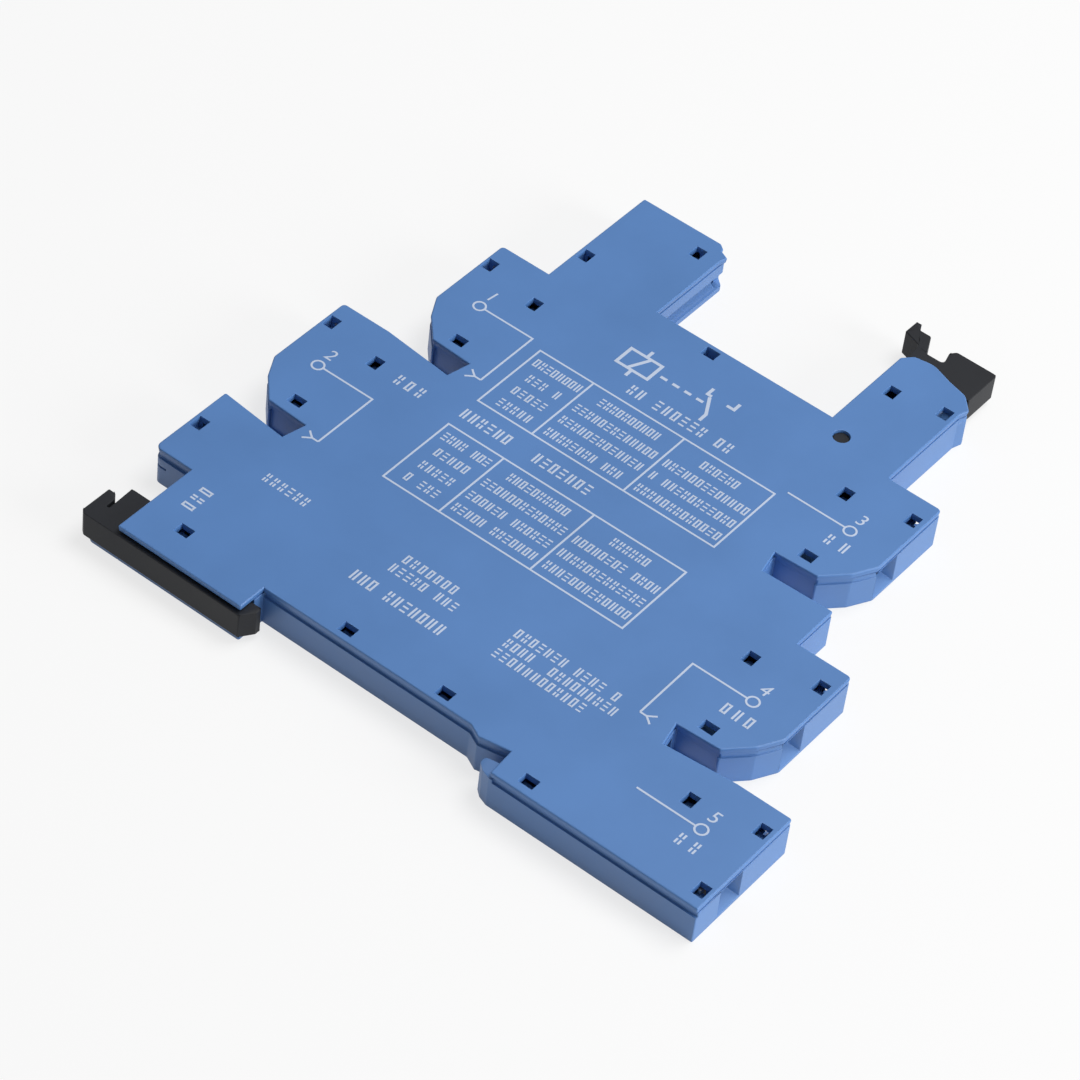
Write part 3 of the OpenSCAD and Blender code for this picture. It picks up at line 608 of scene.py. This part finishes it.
def type_marks(name):
    """Marks along edges: each is one of four patterns of small bars, one unit high."""
    tree, entry, exit_ = new_tree(
        name,
        [("Pitch", "NodeSocketFloat", 0.001), ("Height", "NodeSocketFloat", 0.0016),
         ("Thickness", "NodeSocketFloat", 0.00002), ("Gaps", "NodeSocketFloat", 0.1),
         ("Seed", "NodeSocketInt", 1), ("Material", "NodeSocketMaterial", None)],
    )
    nodes, links = tree.nodes, tree.links
    thin, half = 0.15, 0.5
    patterns = (
        [((-0.14, half), (thin, 1.0)), ((0.14, half), (thin, 1.0))],
        [((0.0, y), (0.46, thin)) for y in (0.08, 0.5, 0.92)],
        [((x, y), (thin, 0.42)) for x in (-0.14, 0.14) for y in (0.21, 0.79)],
        [((-0.16, half), (thin, 1.0)), ((0.16, half), (thin, 1.0))]
        + [((0.0, y), (0.2, thin)) for y in (0.08, 0.92)],
    )
    gather = nodes.new("GeometryNodeGeometryToInstance")
    for bars in reversed(patterns):
        shape = nodes.new("GeometryNodeJoinGeometry")
        for (x, y), (w, h) in bars:
            links.new(bar_shape(tree, (x, y, 0.0), (w, h, 1.0)), shape.inputs["Geometry"])
        links.new(shape.outputs["Geometry"], gather.inputs["Geometry"])
    curve = nodes.new("GeometryNodeMeshToCurve")
    points = nodes.new("GeometryNodeCurveToPoints")
    points.mode = "LENGTH"
    links.new(entry["Geometry"], curve.inputs["Mesh"])
    links.new(curve.outputs["Curve"], points.inputs["Curve"])
    links.new(entry["Pitch"], points.inputs["Length"])
    along = nodes.new("FunctionNodeAlignRotationToVector")
    along.axis = "X"
    links.new(points.outputs["Tangent"], along.inputs["Vector"])
    skip = nodes.new("FunctionNodeRandomValue")
    skip.data_type = "BOOLEAN"
    links.new(entry["Gaps"], skip.inputs["Probability"])
    links.new(entry["Seed"], skip.inputs["Seed"])
    thinned = nodes.new("GeometryNodeDeleteGeometry")
    links.new(points.outputs["Points"], thinned.inputs["Geometry"])
    links.new(skip.outputs[3], thinned.inputs["Selection"])
    pick = nodes.new("FunctionNodeRandomValue")
    pick.data_type = "INT"
    pick.inputs[4].default_value = 0
    pick.inputs[5].default_value = len(patterns) - 1
    links.new(entry["Seed"], pick.inputs["Seed"])
    size = nodes.new("ShaderNodeCombineXYZ")
    links.new(entry["Height"], size.inputs["X"])
    links.new(entry["Height"], size.inputs["Y"])
    links.new(entry["Thickness"], size.inputs["Z"])
    place = nodes.new("GeometryNodeInstanceOnPoints")
    place.inputs["Pick Instance"].default_value = True
    links.new(thinned.outputs["Geometry"], place.inputs["Points"])
    links.new(gather.outputs["Instances"], place.inputs["Instance"])
    links.new(pick.outputs[2], place.inputs["Instance Index"])
    links.new(along.outputs["Rotation"], place.inputs["Rotation"])
    links.new(size.outputs["Vector"], place.inputs["Scale"])
    finish_tree(tree, place.outputs["Instances"], entry["Material"], exit_["Geometry"])
    return tree


def solder_cones(name):
    """Solder joints at points: low cones whose size varies a little."""
    tree, entry, exit_ = new_tree(
        name,
        [("Radius", "NodeSocketFloat", 0.0008), ("Height", "NodeSocketFloat", 0.0006),
         ("Seed", "NodeSocketInt", 1), ("Material", "NodeSocketMaterial", None)],
    )
    nodes, links = tree.nodes, tree.links
    points = nodes.new("GeometryNodeMeshToPoints")
    links.new(entry["Geometry"], points.inputs["Mesh"])
    cone = nodes.new("GeometryNodeMeshCone")
    cone.inputs["Vertices"].default_value = 20
    cone.inputs["Side Segments"].default_value = 4
    links.new(entry["Radius"], cone.inputs["Radius Bottom"])
    top = nodes.new("ShaderNodeMath")
    top.operation = "MULTIPLY"
    top.inputs[1].default_value = 0.45
    links.new(entry["Radius"], top.inputs[0])
    links.new(top.outputs[0], cone.inputs["Radius Top"])
    links.new(entry["Height"], cone.inputs["Depth"])
    vary = nodes.new("FunctionNodeRandomValue")
    vary.data_type = "FLOAT"
    vary.inputs[2].default_value = 0.85
    vary.inputs[3].default_value = 1.1
    links.new(entry["Seed"], vary.inputs["Seed"])
    place = nodes.new("GeometryNodeInstanceOnPoints")
    links.new(points.outputs["Points"], place.inputs["Points"])
    links.new(cone.outputs["Mesh"], place.inputs["Instance"])
    links.new(vary.outputs[1], place.inputs["Scale"])
    finish_tree(tree, place.outputs["Instances"], entry["Material"], exit_["Geometry"])
    return tree


def grown(name, mesh, tree, values, material):
    """The plain mesh that a tree makes from a base mesh."""
    base = bpy.data.objects.new(name + "_base", mesh)
    bpy.context.scene.collection.objects.link(base)
    growth = base.modifiers.new("Growth", "NODES")
    growth.node_group = tree
    sockets = {item.name: item.identifier for item in tree.interface.items_tree if item.in_out == "INPUT"}
    for label, value in {**values, "Material": material}.items():
        growth[sockets[label]] = value
    bpy.context.view_layer.update()
    finished = baked(base)
    finished.name = name
    base.modifiers.clear()
    bpy.data.objects.remove(base)
    return finished


# ---- print layout, millimetres in the plan ----------------------------------------------

# Ring at each terminal, its lead's corners, and the reach of the plug-in fork (0 for none)
LEADS = {
    "a1": ((-35.4, 60.5), [(-26.2, 60.45), (-26.2, 49.35)], -1.0),
    "a2": ((-43.6, 36.55), [(-34.2, 36.55), (-34.2, 25.55)], -1.0),
    "14": ((26.3, 60.65), [(16.2, 60.75)], 0),
    "11": ((34.8, 27.85), [(25.4, 27.85), (25.5, 16.85)], 1.0),
    "12": ((42.6, 6.75), [(32.7, 6.75)], 0),
}
# Left, right, low and high side, and the columns
TABLES = (
    (-24.0, 15.1, 46.05, 59.35, (-14.9, 0.3)),
    (-24.0, 15.2, 26.55, 39.95, (-14.7, 0.3)),
)
TABLE_ROWS = ((56.35, 53.3, 50.25, 47.15), (37.05, 34.05, 30.95, 27.95))
TABLE_LINES = [
    ((left + (first if row == 0 else 0.0), y), (right - (last if row == 0 else 0.0), y))
    for rows in TABLE_ROWS
    for row, y in enumerate(rows)
    for left, right, first, last in ((-21.6, -17.0, -1.2, -1.2), (-13.6, -0.9, 1.8, 1.8), (1.4, 14.2, 3.8, 3.8))
]
NOTE_LINES = [
    ((-12.1, 16.3), (-3.2, 16.3)), ((-12.5, 14.0), (-2.6, 14.0)), ((6.3, 16.0), (21.8, 16.0)),
    ((6.3, 13.8), (23.0, 13.8)), ((6.3, 11.6), (19.7, 11.6)), ((-34.6, 15.2), (-28.2, 15.2)),
]
WORD_LINES = [
    ((-34.0, 40.9), (-30.4, 40.9)), ((-23.6, 42.0), (-15.2, 42.0)), ((-11.5, 42.0), (-3.2, 42.0)),
    ((-10.4, 60.95), (5.6, 60.95)), ((-15.2, 9.6), (-1.4, 9.6)), ((-37.6, 5.2), (-37.6, 8.6)),
    ((25.2, 56.6), (27.6, 56.6)), ((33.0, 23.7), (36.6, 23.7)), ((41.6, 2.9), (43.8, 2.9)),
]
# Rows of type: piece, lines, height and pitch in millimetres, and seed
TYPE_ROWS = (
    ("print_tables", TABLE_LINES, 1.55, 1.0, 3),
    ("print_notes", NOTE_LINES, 1.6, 1.12, 8),
    ("print_words", WORD_LINES, 1.9, 1.35, 5),
)
TYPE_THICKNESS, TYPE_GAPS = 0.02 * MM, 0.07
# Plug-in fork: rise of its two tines, and where they bend and end, as shares of its reach and rise
TINE_RISE = 0.85
TINE = ((1.0, 0.0), (1.7, 0.6), (2.1, 1.0))
# A coil with its diagonal and its leads, a dashed link and a changeover contact
COIL = [(-15.4, 64.9), (-10.2, 64.9), (-10.2, 68.3), (-15.4, 68.3)]
SYMBOL = [
    [(-13.6, 64.9), (-12.0, 68.3)], [(-12.8, 68.3), (-12.8, 69.7)], [(-12.8, 63.5), (-12.8, 64.9)],
    *([(x, 66.6), (x + 1.1, 66.6)] for x in (-9.2, -7.2, -5.2, -3.2)),
    [(-0.4, 63.5), (-0.4, 65.0), (-2.0, 68.0)], [(-2.6, 69.7), (-2.6, 68.3), (-1.9, 68.3)],
    [(1.8, 69.7), (1.8, 68.3), (0.6, 68.3)],
]
# Numerals: type size to height, slant, and place from the ring in millimetres
NUMERAL_SCALE, NUMERAL_SLANT, NUMERAL_PLACE = 1.35, 0.12, (-0.7, 1.7)


# ---- operators -------------------------------------------------------------------------


class SOCKET_OT_studio(bpy.types.Operator):
    """Adds the floor, the even surround, the lamps and the camera"""

    bl_idname = "socket.studio"
    bl_label = "Studio"

    def execute(self, context):
        scene = context.scene
        studio = scene.socket_studio
        scene.view_settings.view_transform = "Standard"
        self.camera(scene, studio)
        self.floor(scene)
        self.world(scene, studio)
        for name, (offset, size) in LAMPS.items():
            self.lamp(scene, name, SOCKET_MIDDLE + Vector(offset), SOCKET_MIDDLE, size, getattr(studio, name))
        return {"FINISHED"}

    def camera(self, scene, studio):
        a, e, r = studio.azimuth, studio.elevation, studio.roll
        forward = Vector((-math.sin(a) * math.cos(e), math.cos(a) * math.cos(e), -math.sin(e)))
        level = Vector((math.cos(a), math.sin(a), 0.0))
        up = level.cross(forward)
        right = math.cos(r) * level - math.sin(r) * up
        upright = math.cos(r) * up + math.sin(r) * level
        turn = Matrix((right, upright, -forward)).transposed().to_4x4()
        data = bpy.data.cameras.new("Camera")
        data.lens = studio.lens_mm
        data.sensor_width = 36.0
        data.clip_start = 0.01
        camera = bpy.data.objects.new("Camera", data)
        camera.matrix_world = Matrix.Translation(CAMERA_AIM - forward * studio.distance) @ turn
        scene.collection.objects.link(camera)
        scene.camera = camera

    def floor(self, scene):
        mesh = bpy.data.meshes.new("studio_floor")
        corners = [(x * FLOOR_REACH, y * FLOOR_REACH, 0) for x, y in ((-1, -1), (1, -1), (1, 1), (-1, 1))]
        mesh.from_pydata(corners, [], [(0, 1, 2, 3)])
        floor = bpy.data.objects.new("studio_floor", mesh)
        scene.collection.objects.link(floor)
        material, nodes, links, shader, place = start_material("Studio floor")
        shader.inputs["Base Color"].default_value = (*scene.socket_colours.floor, 1.0)
        shader.inputs["Roughness"].default_value = 0.9
        shader.inputs["Specular IOR Level"].default_value = 0.1
        white = nodes.new("ShaderNodeEmission")
        white.inputs["Strength"].default_value = 1.0
        blend = nodes.new("ShaderNodeMixShader")
        path = nodes.new("ShaderNodeLightPath").outputs
        seen = maths(nodes, links, "MAXIMUM", path["Is Camera Ray"], path["Is Glossy Ray"])
        seen = maths(nodes, links, "MAXIMUM", seen, path["Is Transmission Ray"])
        links.new(maths(nodes, links, "MULTIPLY", seen, scene.socket_studio.floor_white), blend.inputs["Fac"])
        links.new(shader.outputs["BSDF"], blend.inputs[1])
        links.new(white.outputs["Emission"], blend.inputs[2])
        links.new(blend.outputs["Shader"], nodes["Material Output"].inputs["Surface"])
        mesh.materials.append(material)

    def world(self, scene, studio):
        world = bpy.data.worlds.new("Studio")
        world.use_nodes = True
        nodes, links = world.node_tree.nodes, world.node_tree.links
        nodes["Background"].inputs["Color"].default_value = (1.0, 1.0, 1.0, 1.0)
        path = nodes.new("ShaderNodeLightPath").outputs
        seen = maths(nodes, links, "MAXIMUM", path["Is Camera Ray"], path["Is Transmission Ray"])
        gloss = maths(nodes, links, "MULTIPLY", path["Is Glossy Ray"], studio.gloss_sky)
        bright = maths(nodes, links, "MAXIMUM", seen, gloss)
        links.new(maths(nodes, links, "MAXIMUM", bright, studio.sky), nodes["Background"].inputs["Strength"])
        scene.world = world

    def lamp(self, scene, name, place, aim, size, power):
        data = bpy.data.lights.new(name, "AREA")
        data.shape = "DISK"
        data.size = size
        data.energy = power
        lamp = bpy.data.objects.new(name, data)
        lamp.location = place
        lamp.rotation_euler = (aim - place).to_track_quat("-Z", "Y").to_euler()
        scene.collection.objects.link(lamp)


class SOCKET_OT_housing(bpy.types.Operator):
    """Finishes the moulded tub, with its edges rounded"""

    bl_idname = "socket.housing"
    bl_label = "Housing"

    def execute(self, context):
        scene = context.scene
        grain = shared("Moulded grain", moulded_grain)
        blue = plastic("Blue moulding", scene.socket_colours.shell, grain, (0.40, 0.50), 0.05, specular=0.75)
        softened("housing", "housing_shell", blue, "socket", scene.socket_sizes.tub_edge)
        return {"FINISHED"}


class SOCKET_OT_cover(bpy.types.Operator):
    """Rebuilds the cover plate from its outlines, with every rim rounded"""

    bl_idname = "socket.cover"
    bl_label = "Cover"

    def execute(self, context):
        scene = context.scene
        sizes = scene.socket_sizes
        grain = shared("Moulded grain", moulded_grain)
        blue = plastic("Blue cover", scene.socket_colours.shell, grain, (0.38, 0.50), 0.05)
        low, high = COVER_LOW.z, COVER_HIGH.z
        rim, draft, small = sizes.cover_edge, sizes.cover_draft, sizes.window_edge
        side = [(sizes.seam, low), (sizes.seam, low + SEAM_HEIGHT), (draft, low + SEAM_LEDGE)]
        side += [*rounded_edge(rim, high, RIM_STEPS), (rim + RIM_BAND, high)]
        hole = [(0.0, low), *rounded_edge(small, high, WINDOW_STEPS), (small + WINDOW_BAND, high)]
        loops = [fewer_points(loop) for loop in plane_loops("cover", COVER_TOP)]
        outer = max(loops, key=lambda loop: abs(loop_area(loop)))
        mesh = plate_from_loops("cover_plate", loops, {id(outer): side}, hole)
        piece = add_object("cover_plate", mesh, blue, "socket")
        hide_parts("cover")
        return {"FINISHED"}


class SOCKET_OT_catches(bpy.types.Operator):
    """Fits the tub's sloped snap catches under the cover's windows, and the cove in the lamp arm's pocket"""

    bl_idname = "socket.catches"
    bl_label = "Snap catches"

    def execute(self, context):
        grain = shared("Moulded grain", moulded_grain)
        blue = plastic("Blue catches", context.scene.socket_colours.shell, grain, (0.42, 0.52), 0.05)
        add_object("snap_catches", self.catches(), blue, "socket")
        add_object("pocket_cove", self.cove(), blue, "socket")
        return {"FINISHED"}

    def catches(self):
        """A catch under every four-sided window that the lever doesn't pass."""
        low, high = COVER_TOP - CATCH_FOOT, COVER_LOW.z - CATCH_TOP
        dip = high - CATCH_SLOPE
        swept_low, swept_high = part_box("release_lever")
        form = bmesh.new()
        for loop in plane_loops("cover", COVER_TOP):
            loop = fewer_points(loop)
            if len(loop) != 4:
                continue
            x0, x1 = min(p.x for p in loop) - CATCH_REACH, max(p.x for p in loop) + CATCH_REACH
            y0, y1 = min(p.y for p in loop) - CATCH_REACH, max(p.y for p in loop) + CATCH_REACH
            if x1 > swept_low.x and x0 < swept_high.x and y0 > swept_low.y:
                continue
            tops = [high, dip, dip, high] if x1 - x0 > y1 - y0 else [high, high, dip, dip]
            corners = [(x0, y0), (x1, y0), (x1, y1), (x0, y1)]
            prism(form, [(x, y, low) for x, y in corners], [(x, y, z) for (x, y), z in zip(corners, tops)])
        bmesh.ops.bevel(
            form, geom=form.edges[:], offset=CATCH_EDGE, segments=1,
            affect="EDGES", profile=0.5, clamp_overlap=True,
        )
        return closed_mesh(form, "snap_catches")

    def cove(self):
        """Hollow slope along the pocket low in the lamp arm's side."""
        x0, x1, y0, y1, z0, z1 = (v * MM for v in POCKET)
        turn = quarter_turn(COVE_STEPS)
        section = [(x1 - COVE_RUN * math.sin(t), z1 - (z1 - z0) * math.cos(t)) for t in turn]
        section += [(x0, z1), (x0, z0)]
        form = bmesh.new()
        prism(form, [(x, y0, z) for x, z in section], [(x, y1, z) for x, z in section])
        mesh = closed_mesh(form, "pocket_cove")
        smooth(mesh, 20)
        return mesh


class SOCKET_OT_black_parts(bpy.types.Operator):
    """Finishes the rail clip and the release lever in black"""

    bl_idname = "socket.black_parts"
    bl_label = "Clip and lever"

    def execute(self, context):
        scene = context.scene
        grain = shared("Moulded grain", moulded_grain)
        edge = scene.socket_sizes.black_edge
        tint = scene.socket_colours.black
        black = plastic("Black moulding", tint, grain, (0.46, 0.60), 0.25, 0.012 * MM, 0.3, 5000.0)
        softened("din_clip", "rail_clip", black, "clip", edge)
        softened("release_lever", "lever_arm", black, "lever", edge)
        return {"FINISHED"}


class SOCKET_OT_terminals(bpy.types.Operator):
    """Plates the terminal screws and clamp cages"""

    bl_idname = "socket.terminals"
    bl_label = "Terminals"

    def execute(self, context):
        lines = shared("Drawn metal", drawn_metal)
        zinc = context.scene.socket_colours.zinc
        screw = metal("Plated screw", zinc, lines, (0.22, 0.36))
        cage = metal("Plated cage", zinc, lines, (0.30, 0.46), 0.2, 2500.0)
        for name in TERMINALS:
            dress("screw_" + name, screw)
            dress("cage_" + name, cage)
        return {"FINISHED"}


class SOCKET_OT_contacts(bpy.types.Operator):
    """Finishes the contact bars and pin sockets in brass"""

    bl_idname = "socket.contacts"
    bl_label = "Contacts"

    def execute(self, context):
        lines = shared("Drawn metal", drawn_metal)
        brass = metal("Contact brass", context.scene.socket_colours.brass, lines, (0.24, 0.4), 0.25, 3000.0)
        for name in CONTACT_NODES:
            dress(name, brass)
        return {"FINISHED"}


class SOCKET_OT_electronics(bpy.types.Operator):
    """Finishes the circuit board, its parts and the light guide"""

    bl_idname = "socket.electronics"
    bl_label = "Electronics"

    def execute(self, context):
        grain = shared("Moulded grain", moulded_grain)
        colours = context.scene.socket_colours
        dress("board", plastic("Solder mask", colours.laminate, grain, (0.2, 0.32), 0.2, 0.01 * MM, 0.5, 2500.0))
        for node, (name, base, rough, tone) in BOARD_PARTS.items():
            dress(node, plastic(name, base, grain, rough, tone))
        dress("led_lens", plastic("Light guide", colours.lens, grain, (0.10, 0.2), 0.05, 0.002 * MM, 0.6))
        self.solder()
        return {"FINISHED"}

    def solder(self):
        """A cone at every lead and tail on the board."""
        board_low, board_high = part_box("board")
        points = []
        for node in ("resistor", "diode", "capacitor"):
            low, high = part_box(node)
            points += [(x, (low.y + high.y) / 2) for x in (low.x + 0.1 * MM, high.x - 0.1 * MM)]
        for node in ("coil_contact_1", "coil_contact_2"):
            low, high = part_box(node)
            points.append(((low.x + high.x) / 2, low.y + 0.3 * MM))
        low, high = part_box("bar_a1")
        points.append((high.x - 0.4 * MM, high.y - 0.4 * MM))
        low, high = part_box("bar_a2")
        points.append((high.x - 0.4 * MM, board_low.y + 1.5 * MM))
        mesh = bpy.data.meshes.new("solder_points")
        mesh.from_pydata([(x, y, board_high.z) for x, y in points], [], [])
        lines = shared("Drawn metal", drawn_metal)
        tin = metal("Solder", bpy.context.scene.socket_colours.solder, lines, (0.2, 0.35), 0.15, 900.0)
        tree = shared("Solder cones", solder_cones)
        values = {"Radius": 0.75 * MM, "Height": 0.6 * MM, "Seed": 4}
        joints = grown("solder_joints", mesh, tree, values, tin)
        smooth(joints, 40)
        add_object("solder_joints", joints, tin, "socket")


class SOCKET_OT_print(bpy.types.Operator):
    """Prints the wiring diagram, plain numbers and the blank tables on the cover"""

    bl_idname = "socket.printing"
    bl_label = "Print"

    def execute(self, context):
        scene = context.scene
        sizes = scene.socket_sizes
        grain = shared("Moulded grain", moulded_grain)
        white = plastic("Pad print", scene.socket_colours.printing, grain, (0.5, 0.65), 0.05, 0.004 * MM, 0.3)
        ink = Ink(COVER_TOP - 0.01 * MM, COVER_TOP + sizes.ink)
        self.diagram(ink, sizes)
        self.tables(ink, sizes.stroke)
        self.symbol(ink, sizes.stroke)
        self.numbers(ink, sizes)
        add_object("print_diagram", ink.mesh("print_diagram"), white, "socket")
        for row in TYPE_ROWS:
            self.type_lines(white, *row)
        return {"FINISHED"}

    def diagram(self, ink, sizes):
        """Rings at the terminals, with their leads and plug-in forks."""
        for (x, y), lead, fork in LEADS.values():
            ink.ring((x * MM, y * MM), sizes.ring, sizes.stroke)
            reach = math.copysign(sizes.ring / MM, lead[0][0] - x)
            ink.path([(x + reach, lead[0][1])] + lead, sizes.stroke)
            if fork:
                fx, fy = lead[-1]
                ink.path([(fx, fy), (fx + fork, fy)], sizes.stroke)
                for rise in (-TINE_RISE, TINE_RISE):
                    ink.path([(fx + a * fork, fy + b * rise) for a, b in TINE], sizes.stroke)

    def tables(self, ink, stroke):
        for left, right, low, high, columns in TABLES:
            ink.path([(left, low), (right, low), (right, high), (left, high)], stroke, True)
            for x in columns:
                ink.path([(x, low), (x, high)], stroke)

    def symbol(self, ink, stroke):
        """A coil and a changeover contact, as in any circuit diagram."""
        bold = 1.7 * stroke
        ink.path(COIL, bold, True)
        for points in SYMBOL:
            ink.path(points, bold)

    def numbers(self, ink, sizes):
        """Plain numbers from 1 to 5 above the rings."""
        middle = (ink.high + ink.low) / 2
        for i, ((x, y), *_) in enumerate(LEADS.values()):
            curve = bpy.data.curves.new("numeral", "FONT")
            curve.body = str(i + 1)
            curve.size = NUMERAL_SCALE * sizes.numeral
            curve.shear = NUMERAL_SLANT
            curve.extrude = (ink.high - ink.low) / 2
            curve.resolution_u = 4
            drawn = bpy.data.objects.new("numeral", curve)
            bpy.context.scene.collection.objects.link(drawn)
            bpy.context.view_layer.update()
            mesh = baked(drawn)
            bpy.data.objects.remove(drawn)
            x, y = x + NUMERAL_PLACE[0], y + NUMERAL_PLACE[1]
            mesh.transform(Matrix.Translation((x * MM, y * MM, middle)))
            ink.form.from_mesh(mesh)

    def type_lines(self, white, name, lines, height, pitch, seed):
        """Rows of small marks that stand for lines of type."""
        tree = shared("Type marks", type_marks)
        mesh = bpy.data.meshes.new(name)
        ends = [(x * MM, y * MM, COVER_TOP) for line in lines for x, y in line]
        mesh.from_pydata(ends, [(i, i + 1) for i in range(0, len(ends), 2)], [])
        values = {
            "Pitch": pitch * MM, "Height": height * MM,
            "Thickness": TYPE_THICKNESS, "Gaps": TYPE_GAPS, "Seed": seed,
        }
        finished = grown(name, mesh, tree, values, white)
        add_object(name, finished, white, "socket")


class SOCKET_PT_panel(bpy.types.Panel):
    """Lists the socket's steps and settings"""

    bl_idname = "SOCKET_PT_panel"
    bl_label = "Relay socket"
    bl_space_type = "VIEW_3D"
    bl_region_type = "UI"
    bl_category = "Socket"

    def draw(self, context):
        for step in STEPS:
            self.layout.operator(step.bl_idname)
        for group in (context.scene.socket_colours, context.scene.socket_sizes, context.scene.socket_studio):
            box = self.layout.box()
            for label in group.bl_rna.properties.keys():
                if label not in ("rna_type", "name"):
                    box.prop(group, label)


STEPS = (
    SOCKET_OT_studio,
    SOCKET_OT_housing,
    SOCKET_OT_cover,
    SOCKET_OT_catches,
    SOCKET_OT_black_parts,
    SOCKET_OT_terminals,
    SOCKET_OT_contacts,
    SOCKET_OT_electronics,
    SOCKET_OT_print,
)
SETTINGS = {
    "socket_colours": SOCKET_PG_colours,
    "socket_sizes": SOCKET_PG_sizes,
    "socket_studio": SOCKET_PG_studio,
}


def register():
    for item in (*SETTINGS.values(), *STEPS, SOCKET_PT_panel):
        bpy.utils.register_class(item)
    for name, group in SETTINGS.items():
        setattr(bpy.types.Scene, name, bpy.props.PointerProperty(type=group))


def unregister():
    for name in SETTINGS:
        delattr(bpy.types.Scene, name)
    for item in reversed((*SETTINGS.values(), *STEPS, SOCKET_PT_panel)):
        bpy.utils.unregister_class(item)


def main():
    register()
    bpy.ops.socket.studio()
    bpy.ops.socket.housing()
    bpy.ops.socket.cover()
    bpy.ops.socket.catches()
    bpy.ops.socket.black_parts()
    bpy.ops.socket.terminals()
    bpy.ops.socket.contacts()
    bpy.ops.socket.electronics()
    bpy.ops.socket.printing()


if __name__ == "__main__":
    main()
